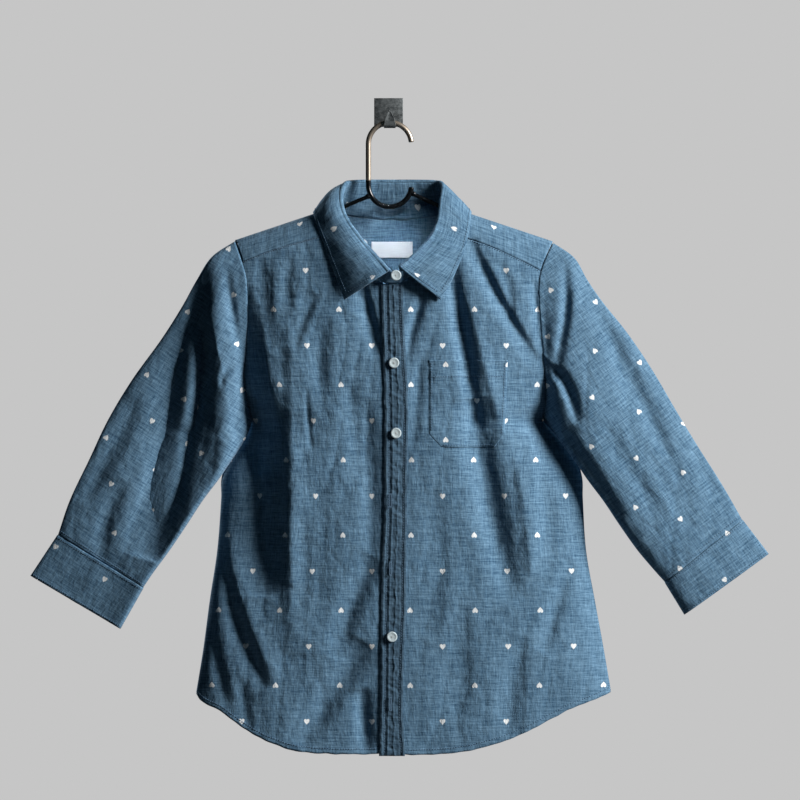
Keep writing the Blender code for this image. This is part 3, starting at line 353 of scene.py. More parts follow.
def edge_curve(points):
    """A function from 0 to 1 that runs evenly along a smooth edge."""
    keys = [0.0]
    for a, b in zip(points, points[1:]):
        keys.append(keys[-1] + math.dist(a, b))
    keys = np.array(keys) / keys[-1]
    parts = [column(points, i) for i in range(len(points[0]))]
    return lambda t: tuple(smooth(keys, part, t) for part in parts)


def joined(first, second, share):
    """Two edges run one after the other, the first over its share of the way."""
    a = edge_curve(first)
    b = edge_curve(second)

    def run(t):
        one = a(ramp(t, 0, share))
        two = b(ramp(t, share, 1 - share))
        return tuple(np.where(t < share, p, q) for p, q in zip(one, two))
    return run


def spread(rows, index):
    """A table's column as a function of the row's place, 0 to 1."""
    keys = np.linspace(0, 1, len(rows))
    return lambda t: smooth(keys, column(rows, index), t)


def unit(vectors):
    return vectors / np.maximum(np.linalg.norm(vectors, axis=-1, keepdims=True), 1e-9)


def ramp(value, start, width):
    """0 up to a start, 1 once the width is passed."""
    return np.clip((value - start) / width, 0, 1)


def bell(distance, width):
    """1 at no distance, falling to nothing over about two widths."""
    return np.exp(-(distance / width) ** 2)


def ease(share):
    """A share from 0 to 1 that starts and ends slowly."""
    return 0.5 - 0.5 * np.cos(math.pi * share)


def bulge(share):
    """0 at both ends of a share and 1 in its middle."""
    return np.sin(math.pi * share)


def stacked(*parts):
    return np.stack(np.broadcast_arrays(*parts), axis=-1)


# ---- the two sheets and their creases ----------------------------------------
side_low, side_high, seam_depth = [table_curve(SIDES, i) for i in (1, 2, 3)]
front_depth = table_curve(FRONT_DEPTH, 1)
band_low, band_high = [table_curve(BAND, i) for i in (1, 2)]


def shoulder_z(x):
    """Height of the shoulder line, carried on over the neck."""
    return SHOULDER_TOP - SHOULDER_SLOPE * (np.abs(x - SHOULDER_X) - SHOULDER_REACH)


def fullness(x, z):
    """How full the sheet is across its width: 1 in the middle, 0 at a side."""
    low, high = side_low(z), side_high(z)
    across = np.abs(x - (low + high) / 2) / ((high - low) / 2)
    share = ramp(z, -260, 110)
    power = SIDE_ROUND + (SHOULDER_ROUND - SIDE_ROUND) * share
    return np.sqrt(np.maximum(1 - np.minimum(across, 1) ** power, 0))


def fold(rows, x, z):
    """Depth of the creases: each follows a bent path and has a side of its own steepness."""
    total = np.zeros_like(x)
    for x0, z0, x1, z1, x2, z2, low, high, depth in rows:
        t = np.linspace(0, 1, 13)
        px = x0 * (1 - t) ** 2 + (2 * x1 - (x0 + x2) / 2) * 2 * t * (1 - t) + x2 * t ** 2
        pz = z0 * (1 - t) ** 2 + (2 * z1 - (z0 + z2) / 2) * 2 * t * (1 - t) + z2 * t ** 2
        reach = 3 * max(low, high)
        near = (x > px.min() - reach) & (x < px.max() + reach)
        near &= (z > pz.min() - reach) & (z < pz.max() + reach)
        if not near.any():
            continue
        ax, az = px[:-1, None], pz[:-1, None]
        bx, bz = px[1:, None] - ax, pz[1:, None] - az
        ox, oz = x[near][None] - ax, z[near][None] - az
        s = np.clip((ox * bx + oz * bz) / (bx ** 2 + bz ** 2), 0, 1)
        gx, gz = ox - s * bx, oz - s * bz
        gap = np.hypot(gx, gz)
        best = gap.argmin(axis=0)
        pick = (best, np.arange(best.size))
        along = (best + s[pick]) / (len(t) - 1)
        side = (bx * gz - bz * gx)[pick]
        width = np.where(side > 0, high, low)
        taper = np.sqrt(np.maximum(bulge(along), 0))
        total[near] += depth * taper * bell(gap[pick], width)
    return total


def rumple(x, z, seed, size, stretch=1.0, lean=0.0):
    """Uneven soft relief between -1 and 1, its lumps size wide and stretch times as tall."""
    out = np.empty_like(x)
    flat_x = ((x + lean * z) / size).ravel()
    flat_z = (z / (size * stretch)).ravel()
    values = [noise.noise((a, b, seed)) for a, b in zip(flat_x.tolist(), flat_z.tolist())]
    out[...] = np.array(values).reshape(x.shape)
    return out


def creased(x, z, seed):
    """Relief of hung cloth in mm, plus outward: broad hollows, drawn lines, small puckers."""
    broad = rumple(x, z, seed, 46, 1.9, 0.12)
    lines = 1 - np.abs(rumple(x, z, seed + 7.3, 30, 3.2, -0.18)) * 2.4
    cross = 1 - np.abs(rumple(x, z, seed + 3.1, 24, 0.7, 0.55)) * 2.6
    fine = rumple(x, z, seed + 5.7, 9, 1.3)
    lines = np.maximum(lines, 0) ** 2
    cross = np.maximum(cross, 0) ** 3
    return 1.8 * broad - 0.7 * lines - 0.4 * cross + 0.18 * fine


def plain_y(x, z, face):
    """Depth of the sheet before its creases, as in the solids, and how full it is."""
    side = seam_depth(z)
    full = fullness(x, z)
    fall = np.where(face < 0, FRONT_FALL, BACK_FALL)
    drop = ramp(shoulder_z(x), z, fall)
    rise = full * np.sqrt(1 - (1 - drop) ** 2)
    plane = np.where(face < 0, front_depth(z), BACK_Y)
    apart = np.where(z < UNDERARM_Z + 40, SIDE_GAP * (1 - full) ** 3 * face, 0)
    return side + (plane - side) * rise + apart, rise


def sheet_y(x, z, face):
    """Depth of the cloth's outer face: face is -1 in front and 1 behind."""
    x, z = np.broadcast_arrays(np.asarray(x, float), np.asarray(z, float))
    face = np.broadcast_to(np.asarray(face, float), x.shape)
    depth, rise = plain_y(x, z, face)
    inward = np.zeros_like(depth)
    for sign, rows, seed in ((-1, FRONT_FOLDS, 2.0), (1, BACK_FOLDS, 40.0)):
        part = face < 0 if sign < 0 else face > 0
        if part.any():
            px, pz = x[part], z[part]
            inward[part] = fold(rows, px, pz) - creased(px, pz, seed)
    ease = np.minimum(1, 1.2 * rise)
    near_band = np.clip(np.abs(x - 6) / 30, 0.35, 1)
    return depth - face * inward * ease * near_band


# ---- meshes ------------------------------------------------------------------
def grid(columns, rows, place):
    """A grid moved to place(u, v), which gives x, y, z and the cloth's own flat s, t."""
    bm = bmesh.new()
    layer = bm.loops.layers.uv.new("cloth")
    bmesh.ops.create_grid(bm, x_segments=columns, y_segments=rows, size=1.0)
    at = np.array([vert.co[:2] for vert in bm.verts])
    x, y, z, s, t = place((at[:, 0] + 1) / 2, (at[:, 1] + 1) / 2)
    points = stacked(x, y, z) * MM
    flat = (stacked(s, t) * MM).tolist()
    for vert, point in zip(bm.verts, points.tolist()):
        vert.co = point
    bm.verts.index_update()
    for face in bm.faces:
        for loop in face.loops:
            loop[layer].uv = flat[loop.vert.index]
    return bm


def add_object(name, bm, finish, smooth_angle=50):
    mesh = bpy.data.meshes.new(name)
    bm.to_mesh(mesh)
    bm.free()
    mesh.materials.append(finish)
    mesh.shade_smooth()
    mesh.set_sharp_from_angle(angle=math.radians(smooth_angle))
    made = bpy.data.objects.new(name, mesh)
    bpy.context.scene.collection.objects.link(made)
    return made


def cloth(name, bm, facing, finish=None, wall=WALL, outward=False):
    """Give an open sheet its wall. facing(centres) is the way its outer face looks."""
    bmesh.ops.recalc_face_normals(bm, faces=bm.faces)
    centres = np.array([face.calc_center_median()[:] for face in bm.faces]) / MM
    normals = np.array([face.normal[:] for face in bm.faces])
    if (normals * facing(centres)).sum() < 0:
        bmesh.ops.reverse_faces(bm, faces=bm.faces)
    made = add_object(name + "_cloth", bm, finish or chambray_look())
    solidify = made.modifiers.new("wall", "SOLIDIFY")
    solidify.thickness = wall * MM
    solidify.offset = 1.0 if outward else -1.0
    solidify.use_even_offset = False
    return made


def looking(way, share):
    """A facing that looks one way, and by a share of the distance out of the neck."""
    return lambda centres: way + (centres - (SHOULDER_X, HANGER_Y, 0)) * share


TO_FRONT = looking((0, -1, 0), (0, 0, 0))
TO_BACK = looking((0, 1, 0), (0, 0, 0))
OVER_SHOULDERS = looking((0, 0, 12), (0, 1, 0))
FROM_NECK = looking((0, 0, 20), (1, 3, 0))
OUT_OF_NECK = looking((0, 0, 0), (1, 2, 0))


def fit(made, slot_name, *nodes):
    """The piece stands for those solids, which it hides, and moves with the one body."""
    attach(made, "root")
    if nodes:
        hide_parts(*nodes)
    return made


# ---- body panels -------------------------------------------------------------
def patch(top, bottom, outer, inner):
    """Fill four edges: u runs from outer to inner, v from top to bottom."""
    ends = [np.array([0.0]), np.array([1.0])]
    corner = [edge(end) for edge in (top, bottom) for end in ends]

    def place(u, v):
        t, b, o, i = top(u), bottom(u), outer(v), inner(v)
        made = []
        for k in (0, 1):
            ruled = (1 - v) * t[k] + v * b[k] + (1 - u) * o[k] + u * i[k]
            twist = (1 - v) * ((1 - u) * corner[0][k] + u * corner[1][k])
            twist = twist + v * ((1 - u) * corner[2][k] + u * corner[3][k])
            made.append(ruled - twist)
        return made
    return place


def at_height(edge, height):
    """The x of an edge that falls steadily, at a height."""
    return smooth([-z for _, z in edge], column(edge, 0), -np.asarray(height, float))


def armhole_below(edge, height):
    """The part of an armhole edge below a height, started exactly at that height."""
    start = ((float(at_height(edge, height)), height),)
    return start + tuple(p for p in edge if p[1] < height - 6)


def front_place(armhole, side, seam, neck, hem, tuck, lattice):
    """A front, from its yoke seam and neck to the hem, from its side to the band."""
    seam = [(x, z - 0.5 * SEAM) for x, z in seam + (neck[0],)]
    arm = armhole_below(armhole, seam[0][1])
    seam[0] = arm[0]
    top = joined(seam, (seam[-1],) + neck[1:], SEAM_SHARE)
    outer = joined(arm, side, ARMHOLE_SHARE)
    bottom = edge_curve(hem)

    def inner(v):
        z = neck[-1][1] + v * (hem[-1][1] - neck[-1][1])
        return (band_low(z) + tuck, z)

    fill = patch(top, bottom, outer, inner)

    def place(u, v):
        x, z = fill(u ** COLUMN_LEAN, v)
        z = z + rumple(x, z * 0, 9.0, 11) * 0.9 * np.clip((v - 0.9) * 10, 0, 1)
        y = sheet_y(x, z, -1) - SEAM / 2
        hem_roll = bell((1 - v) * 520, 5) * 0.5
        return x, y - hem_roll, z, *lattice(x, z)
    return place


def back_place(u, v):
    """The back, below the yoke, from side to side."""
    top_z = BACK_SEAM_Z - SEAM / 2
    arm_r = armhole_below(ARMHOLE_RIGHT, top_z)
    arm_l = armhole_below(ARMHOLE_LEFT, top_z)
    hem_low = edge_curve(HEM_RIGHT)
    hem_high = edge_curve(HEM_LEFT)

    def top(w):
        return (arm_r[0][0] + w * (arm_l[0][0] - arm_r[0][0]), np.full_like(w, top_z))

    def bottom(w):
        low = hem_low(np.clip(2 * w, 0, 1))
        high = hem_high(np.clip(2 - 2 * w, 0, 1))
        return tuple(np.where(w < 0.5, p, q) for p, q in zip(low, high))

    fill = patch(top, bottom, joined(arm_r, SIDE_RIGHT, ARMHOLE_SHARE),
                 joined(arm_l, SIDE_LEFT, ARMHOLE_SHARE))
    even = ease(u)
    x, z = fill(0.6 * even + 0.4 * u, v)
    z = z + HEM_LIFT_BACK * v ** 8
    return x, sheet_y(x, z, 1) + SEAM / 2, z, x + 20, z


# ---- the shoulders as one surface --------------------------------------------
def turn(x, z, face):
    """How far a place lies over the shoulder line: minus in front, plus behind."""
    face = np.asarray(face, float)
    drop = (shoulder_z(x) - z) / np.where(face < 0, FRONT_FALL, BACK_FALL)
    near = np.arccos(1 - np.clip(drop, 0, 1))
    return face * np.where(drop > 1, math.pi / 2 + drop - 1, near)


def spot(x, turned, bare=False):
    """The point of the sheets at an x and a turn over the shoulder line."""
    x, turned = np.broadcast_arrays(np.asarray(x, float), np.asarray(turned, float))
    face = np.where(turned < 0, -1.0, 1.0)
    far = np.abs(turned)
    drop = np.where(far > math.pi / 2, 1 + far - math.pi / 2, 1 - np.cos(far))
    z = shoulder_z(x) - np.where(face < 0, FRONT_FALL, BACK_FALL) * drop
    y = plain_y(x, z, face)[0] if bare else sheet_y(x, z, face)
    return stacked(x, y, z)


def off_sheet(x, turned, off):
    """Points that lie off the sheets by a distance, outward."""
    across = spot(x + 1, turned, True) - spot(x - 1, turned, True)
    over = spot(x, turned + 0.03, True) - spot(x, turned - 0.03, True)
    normal = unit(np.cross(across, over))
    point = spot(x, turned, True)
    middle = stacked(point[..., 0], -30.0, -260.0)
    away = (normal * (point - middle)).sum(-1, keepdims=True) < 0
    return point + np.where(away, -normal, normal) * np.asarray(off)[..., None]


def collar_line(x_column, z_column):
    """A collar table edge as points of x and turn, one for each row."""
    return [(row[x_column], TURN_SCALE * float(turn(row[x_column], row[z_column], row[7])))
            for row in COLLAR]


neck_x, neck_turn = [spread(collar_line(5, 6), i) for i in (0, 1)]
leaf_x, leaf_turn = [spread(collar_line(3, 4), i) for i in (0, 1)]
fold_x, fold_y, fold_z = [spread(COLLAR, i) for i in (0, 1, 2)]
out_x, out_y = [spread(COLLAR, i) for i in (8, 9)]


def neck_edge(t):
    """The neck seam at a share of the way round, as x and height."""
    point = spot(neck_x(t), neck_turn(t) / TURN_SCALE, True)
    return (float(point[..., 0]), float(point[..., 2]))


def yoke_place(u, v):
    """The yoke, from the front seams and the neck over the shoulders to the back."""
    back_z = BACK_SEAM_Z + SEAM / 2
    first = CORNER_RIGHT / LAST_ROW
    last = CORNER_LEFT / LAST_ROW

    def seam_line(edge, armhole, corner_t):
        points = edge + (neck_edge(corner_t),)
        start_x = float(at_height(armhole, points[0][1]))
        points = ((start_x, points[0][1]),) + points[1:]
        return edge_curve([(x, TURN_SCALE * float(turn(x, z + SEAM / 2, -1)))
                           for x, z in points])

    right = seam_line(YOKE_SEAM_RIGHT, ARMHOLE_RIGHT, first)
    left = seam_line(YOKE_SEAM_LEFT, ARMHOLE_LEFT, last)
    end_right = float(at_height(ARMHOLE_RIGHT, back_z))
    end_left = float(at_height(ARMHOLE_LEFT, back_z))

    def start(w):
        low = right(ramp(w, 0, YOKE_SHARE))
        high = left(ramp(1, w, YOKE_SHARE))
        t = first + (last - first) * (w - YOKE_SHARE) / (1 - 2 * YOKE_SHARE)
        neck = (neck_x(t), neck_turn(t))
        return [np.where(w < YOKE_SHARE, a, np.where(w > 1 - YOKE_SHARE, b, c))
                for a, b, c in zip(low, high, neck)]

    def ruled(w, down):
        x0, turned = start(w)
        x1 = end_right + w * (end_left - end_right)
        end = turn(x1, back_z, 1)
        return x0 + (x1 - x0) * down, turned / TURN_SCALE * (1 - down) + down * end

    x, turned = ruled(u, v)
    for end, edge in ((0.0, ARMHOLE_RIGHT), (1.0, ARMHOLE_LEFT)):
        near = np.maximum(1 - np.abs(u - end) / YOKE_SHARE, 0) ** 2
        edge_x, edge_turn = ruled(np.full_like(u, end), v)
        height = spot(edge_x, edge_turn, True)[:, 2]
        height = spot(at_height(edge, height), edge_turn, True)[:, 2]
        x = x + near * (at_height(edge, height) - edge_x)
    point = spot(x, turned)
    behind = ease(ramp(turned, 0, 1.2))
    square = behind * (SHOULDER_TOP - shoulder_z(x)) * TURN_SCALE / BACK_FALL
    return (*point.T, (x + 101) * 0.964, (turned * TURN_SCALE + square) * 0.87 + 19)


# ---- sleeves and cuffs -------------------------------------------------------
def oval(row, f, face, crown=1.0, lean=0.0):
    """Points of a flattened ring: f runs from its outer edge to its inner edge.

    A crown above 1 moves the front's fullest line towards the inner edge; the
    lean sets the inner edge forward and the outer edge back.
    """
    ox, oz, ix, iz, y, full_front, full_back = row
    share = ease(f)
    round_off = np.abs(bulge(f)) ** 0.8
    leaning = np.abs(bulge(f ** crown)) ** 0.8
    full = np.where(face < 0, -full_front * (0.35 * round_off + 0.65 * leaning),
                    full_back * round_off)
    full = full - lean * (2 * share - 1)
    return stacked(ox + (ix - ox) * share, y + full, oz + (iz - oz) * share)


def axis_of(row):
    """The middle of a ring."""
    return stacked((row[0] + row[2]) / 2, row[4], (row[1] + row[3]) / 2)


def ring_place(u):
    """Where a point of a ring lies: share from outer to inner edge, and its face."""
    return np.where(u <= 0.5, 2 * u, 2 - 2 * u), np.where(u <= 0.5, -1.0, 1.0)


def ring_cut(row, point, face, grain, lattice):
    """Flat place of a ring's point, the cloth unfolded from behind at the outer edge."""
    along = np.array(grain) / np.hypot(*grain)
    edge = row[0] * along[1] - row[1] * along[0]
    across = point[:, 0] * along[1] - point[:, 2] * along[0]
    across = np.where(face < 0, across, 2 * edge - across)
    down = point[:, 0] * along[0] + point[:, 2] * along[1]
    return (-across - lattice[0]) / 0.95, -down - lattice[1]


def sleeve_place(rows, armhole, folds, seed, grain, lattice, crowns):
    """A sleeve from its armhole to the cuff seam."""
    columns = [spread(rows, i) for i in range(7)]
    cut = edge_curve(armhole)
    away = -1 if rows[0][0] < 0 else 1
    start = tuple(rows[0])
    length = sum(math.dist((a[0] + a[2], a[1] + a[3]), (b[0] + b[2], b[1] + b[3])) / 2
                 for a, b in zip(rows, rows[1:]))

    def place(u, v):
        f, face = ring_place(u)
        row = tuple(curve(v) for curve in columns)
        crown = crowns[0] + (crowns[1] - crowns[0]) * ramp(v, 0.2, 0.25)
        lean = crowns[2] * ramp(v, 0.15, 0.45)
        point = oval(row, f, face, crown, lean)
        x, z = cut(f)
        at_armhole = stacked(x, sheet_y(x, z, face), z)
        blend = np.maximum(1 - v / 0.34, 0) ** 2
        point = point + (at_armhole - oval(start, f, face, crown)) * blend[:, None]
        inside = bulge(f) * np.minimum(1, v / 0.1)
        inside = np.where(f > 0.5, np.minimum(2.2 * inside, np.minimum(1, v / 0.1)), inside)
        px, pz = point[:, 0], point[:, 2]
        relief = fold(folds, px, pz)
        relief = relief - creased(px - face * 60, pz, seed) * 0.9
        swell = bell(v * length - 3.5, 3.0) * 0.7
        pucker = rumple(f * 190 + face * 300, v * 0, seed, 8) * np.exp(-v * length / 16)
        point[:, 1] -= face * (inside * relief - (swell + 0.9 * pucker) * bulge(f))
        point[:, 0] += away * 0.3
        s, t = ring_cut(row, point, face, grain, lattice)
        return (*point.T, s, t)
    return place, columns


def cuff_place(seam_row, end_row, seed, grain, lattice, crown, lean):
    """A cuff from its seam with the sleeve to its open end."""
    start = tuple(seam_row[:7])
    middle = [(a + b) / 2 for a, b in zip(seam_row, end_row)]
    columns = [spread((start, middle, end_row), i) for i in range(7)]
    away = unit(np.array((end_row[0] - seam_row[0], 0.0, end_row[1] - seam_row[1])))
    sideways = 0.3 * (-1 if seam_row[0] < 0 else 1)
    depth = math.dist((start[0], start[1]), (end_row[0], end_row[1]))

    def place(u, v):
        f, face = ring_place(u)
        row = [curve(v) for curve in columns]
        point = oval(row, f, face, crown, lean) + away * 0.2
        point[:, 0] += sideways
        centre = axis_of(row)
        waves = rumple(f * 150 + face * 400, v * 50, seed, 22, 1.4) * 2.0
        lines = rumple(f * 120 + face * 300 + v * 60, v * 18, seed + 3, 9, 3) * 0.5
        rim = 0.5 * bell(v * depth, 2.5) + 0.4 * bell((1 - v) * depth, 3)
        lift = CUFF_STEP * 0.5 + (waves + lines + rim) * bulge(f)
        point = point + unit(point - centre) * lift[:, None]
        s, t = ring_cut(row, point, face, grain, lattice)
        return (*point.T, s, t)
    return place, columns


def around(columns):
    """Faces look away from the tube's axis."""
    def facing(centres):
        t = np.linspace(0, 1, 21)
        row = [curve(t) for curve in columns]
        gaps = centres[:, None] - axis_of(row)[None]
        best = np.linalg.norm(gaps, axis=2).argmin(axis=1)
        return gaps[np.arange(len(centres)), best]
    return facing


# ---- collar ------------------------------------------------------------------
def overlap(t):
    """How far the right end comes forward to lap over the left end."""
    return LAP_FORWARD * np.maximum(1 - t * LAST_ROW / 2, 0)


def fold_point(t):
    """The crest of the collar's roll at a share of the way round the neck."""
    return stacked(fold_x(t), fold_y(t) - overlap(t), fold_z(t))


def stand_foot(t):
    """The neck seam under the stand."""
    foot = off_sheet(neck_x(t), neck_turn(t) / TURN_SCALE, np.zeros_like(t))
    foot[:, 1] -= overlap(t) + SEAM / 2
    return foot


def roll_frame(t):
    """The roll's centre, and the ways outward and up across the fold line."""
    step = 0.25 / LAST_ROW
    crest = fold_point(t)
    along = unit(fold_point(np.minimum(t + step, 1)) - fold_point(np.maximum(t - step, 0)))
    up = crest - stand_foot(t)
    up = unit(up - along * (up * along).sum(-1, keepdims=True))
    out = np.cross(along, up)
    side = out[:, 0] * out_x(t) + out[:, 1] * out_y(t)
    out = np.where(side[:, None] < 0, -out, out)
    return crest - up * LEAF_R, out, up


def stand_point(t, v):
    """The collar stand's inner face, from the neck seam up to the leaf."""
    on = np.maximum(t, 0)
    centre, out, up = roll_frame(on)
    foot = stand_foot(on)
    head = centre - out * LEAF_R - up * 0.1
    way = unit(head - foot)
    head = head - way * (0.1 + WALL * np.abs((way * out).sum(-1)))[:, None]
    foot = foot + way * STAND_FOOT
    point = foot + (head - foot) * v[:, None]
    point[:, 0] += np.maximum(-t, 0) * LAST_ROW * STAND_LAP
    return point


def stand_place(u, v):
    lap = 1 / LAST_ROW
    t = -lap + u * (1 + lap)
    point = stand_point(t, v)
    wave = rumple(t * 420, v * 26, 12.0, 17, 1.2) * 0.5
    point[:, 1] += wave * bulge(v)
    return (*point.T, t * 400 - 224, v * 30 - 8)


def leaf_plain(t, v):
    """The leaf's outer face: up from the stand, over the roll, down to its edge."""
    centre, out, up = roll_frame(t)
    angle = math.pi * (1 - np.minimum(v, ROLL_SHARE) / ROLL_SHARE)
    roll = centre + (out * np.cos(angle)[:, None] + up * np.sin(angle)[:, None]) * LEAF_R
    off = LEAF_OFF + (LEAF_OFF_BACK - LEAF_OFF) * np.abs(bulge(t)) ** 4
    right = ramp(0.4, t, 0.15)
    off = off - 1.2 * right
    edge = off_sheet(leaf_x(t), leaf_turn(t) / TURN_SCALE, off + overlap(t) * 0.5)
    start = centre + out * LEAF_R
    span = edge - start
    size = np.linalg.norm(span, axis=-1, keepdims=True)
    right = right[:, None]
    bend = start + span * (0.35 - 0.15 * right)
    bend = bend + (out * (0.10 + 0.17 * right) - up * 0.06) * size
    w = (np.maximum(v - ROLL_SHARE, 0) / (1 - ROLL_SHARE))[:, None]
    leaf = start * (1 - w) ** 2 + bend * (2 * w * (1 - w)) + edge * w ** 2
    return np.where((v < ROLL_SHARE)[:, None], roll, leaf), size[:, 0], out, up


def leaf_place(u, v):
    point, size, out, up = leaf_plain(u, v)
    w = np.maximum(v - ROLL_SHARE, 0) / (1 - ROLL_SHARE)
    down = w * size
    soft = rumple(u * 480, down, 21.0, 24, 1.3) * 2.0 + rumple(u * 480, down, 23.0, 8, 1.0) * 0.3
    rim = bell((1 - w) * size, 4.5) * 0.45
    ends = bell(np.minimum(u, 1 - u) * 300, 4.5) * 0.45
    lift = (soft * bulge(np.minimum(w, 0.93)) + rim + ends * (w > 0.05)) * (w > 0)
    point = point + out * lift[:, None]
    return (*point.T, u * 441 - 41, v * 9 - down + 55)


# ---- pieces laid on the panels -----------------------------------------------
front_faces = []  # the fronts' outer faces, for what is sewn on top of them


def laid_y(x, z):
    """Outer face of a cloth piece that is sewn on top of the fronts, at arrays of places."""
    out = sheet_y(x, z, -1) - SEAM / 2
    for i, (px, pz) in enumerate(zip(x.tolist(), z.tolist())):
        origin = Vector((px * MM, -0.2, pz * MM))
        for tree in front_faces:
            hit = tree.ray_cast(origin, Vector((0, 1, 0)))[0]
            if hit is not None:
                out[i] = min(out[i], hit.y / MM)
    return out - LAID_ON - WALL


def puckers(x, z):
    """Relief of the button band: drawn-up cloth that leans between its two seams."""
    zig = rumple(x, z, 31.0, 8, 1.1, 1.3) + 0.8 * rumple(x, z, 33.0, 7, 1.2, -1.5)
    knots = np.abs(rumple(x, z, 35.0, 5, 0.9))
    return 1.5 * zig + 0.8 * knots


def placket_place(u, v):
    z = BAND_TOP + v * (BAND_BOTTOM - BAND_TOP)
    wobble = rumple(z * 0 + 5, z, 37.0, 12) * 0.8
    low, high = band_low(z), band_high(z)
    x = low + u * (high - low)
    seam_a, seam_b = low + 6.0, high - 4.5
    between = bell(x - seam_a, 1.6) + bell(x - seam_b, 1.6)
    edge = np.minimum(u, 1 - u) * (high - low)
    body = np.clip(1 - between, 0, 1) * np.clip(edge / 3.5, 0.12, 1)
    inner = (x > seam_a) & (x < seam_b)
    ropes = bell(edge - 2.6, 1.3) * (0.7 + 0.5 * rumple(x * 0, z, 36.0, 7))
    middle = (low + high) / 2 + 2.2 + 1.8 * rumple(z * 0 + 9, z, 38.0, 11)
    cords = bell(x - middle, 0.9) * np.clip(0.9 + rumple(x * 0, z, 39.0, 16), 0, 2)
    cords = cords + 0.8 * bell(x - low - 9.5 + wobble, 0.8)
    relief = puckers(x, z) * np.where(inner, 0.62, 0.45) * body + ropes + 0.8 * cords
    y = laid_y(x, z) + 0.25 - relief * 0.8 + 0.5 * between
    return x + wobble, y, z, x + 3, z * 1.04


def straight_edge(index, z):
    """An edge of the pocket, which is made of straight lines."""
    return np.interp(z, column(POCKET, 0), column(POCKET, index))


def pocket_place(u, v):
    low_z, high_z = POCKET[0][0], POCKET[-1][0]
    z = high_z + v * (low_z - high_z)
    low, high = straight_edge(1, z), straight_edge(2, z)
    x = low + u * (high - low)
    edge = np.minimum(np.minimum(u, 1 - u) * (high - low), (1 - v) * (high_z - low_z))
    rim = 0.2 * bell(edge, 2.5)
    soft = rumple(x, z, 51.0, 13, 1.2) * 0.5 * np.clip(edge / 6, 0, 1)
    mouth = 0.4 * bell(v * 99, 4) + 0.2 * bell(v * 99 - 19, 2.5)
    away = bell(x - low, 4.5)
    y = laid_y(x, z) + WALL / 2 + SEAM + 0.2 + 0.5 * away - rim * (1 - away) - soft - mouth
    return x, y, z, x - 29.5, z + 330.6


def label_place(u, v):
    x = LABEL_X + (u - 0.5) * LABEL_W
    z = LABEL_TOP - v * LABEL_H
    bow = 0.8 * bulge(u) * bulge(v)
    y = sheet_y(x, z, 1) - WALL - LAID_ON - LABEL_T - bow - 1.5
    return x, y, z, x, z


# ---- sewing ------------------------------------------------------------------
def path_of(place, u, v, count):
    """Outer points and outward normals of a piece along a line of its grid.

    A pair for u or v is where the line starts and ends.
    """
    u, v = [np.linspace(*way, count) if isinstance(way, tuple) else np.full(count, way)
            for way in (u, v)]

    def at(a, b):
        return stacked(*place(np.clip(a, 0, 1), np.clip(b, 0, 1))[:3])

    step = 0.004
    across = at(u + step, v) - at(u - step, v)
    down = at(u, v + step) - at(u, v - step)
    return at(u, v), unit(np.cross(across, down))


def oblong(centre, size):
    """The matrix that puts a ball of that size, in mm, at a point."""
    scale = Matrix.Diagonal((*[side * MM for side in size], 1))
    return Matrix.Translation(Vector(centre) * MM) @ scale


def add_ball(bm, centre, size, segments, rings):
    bmesh.ops.create_uvsphere(bm, u_segments=segments, v_segments=rings, radius=1.0,
                              matrix=oblong(centre, size))


def balls(places):
    """One small ball for each matrix."""
    ball = bmesh.new()
    bmesh.ops.create_uvsphere(ball, u_segments=6, v_segments=4, radius=1.0)
    ball.verts.index_update()
    corners = [[vert.index for vert in face.verts] for face in ball.faces]
    bm = bmesh.new()
    for place in places:
        verts = [bm.verts.new(place @ vert.co) for vert in ball.verts]
        for face in corners:
            bm.faces.new([verts[i] for i in face])
    ball.free()
    return bm


def sew(points, normals, outward, pitch=3.0, length=2.1, thick=0.42, rise=0.25):
    """Where the stitches of a row along the points lie, as matrices for balls."""
    if (normals * outward).sum() < 0:
        normals = -normals
    steps = np.linalg.norm(np.diff(points, axis=0), axis=1)
    run = np.concatenate(([0.0], np.cumsum(steps)))
    made = []
    for middle in np.arange(pitch, run[-1] - pitch / 2, pitch):
        ends = [np.array([np.interp(middle + d, run, points[:, k]) for k in range(3)])
                for d in (-length / 2, length / 2)]
        normal = np.array([np.interp(middle, run, normals[:, k]) for k in range(3)])
        along = Vector(ends[1] - ends[0]).normalized()
        up = Vector(normal).normalized()
        side = along.cross(up).normalized()
        centre = Vector((ends[0] + ends[1]) / 2 + unit(normal) * rise) * MM
        turned = Matrix((side, up, along)).transposed().to_4x4()
        size = Matrix.Diagonal((thick * MM, thick * MM, length * 0.5 * MM, 1))
        made.append(Matrix.Translation(centre) @ turned @ size)
    return made


def buttonhole(x, z, half, y):
    """A worked hole: two close rows of thread bars and a bar at each end."""
    places = [(x + side * 1.1, z + k * 0.8, 0) for side in (-1, 1)
              for k in np.arange(-half / 0.8, half / 0.8 + 0.1)]
    places += [(x + k * 0.7, z + end * (half + 0.8), 1) for end in (-1, 1)
               for k in (-1.5, -0.5, 0.5, 1.5)]
    return [oblong((px, y, pz), (0.34, 0.3, 0.9) if upright else (0.85, 0.3, 0.34))
            for px, pz, upright in places]


# ---- materials ---------------------------------------------------------------
def linear(code):
    """An sRGB hex colour as linear floats."""
    parts = [int(code[i:i + 2], 16) / 255 for i in (0, 2, 4)]
    return tuple(c / 12.92 if c <= 0.04045 else ((c + 0.055) / 1.055) ** 2.4 for c in parts)


def shade(colour, deep=1.0):
    """A colour with its alpha, darkened by a factor."""
    return (*[c * deep for c in colour], 1.0)


def feed(tree, socket, value):
    """Give a node's input its link or its value."""
    if isinstance(value, bpy.types.NodeSocket):
        tree.links.new(value, socket)
    else:
        socket.default_value = value


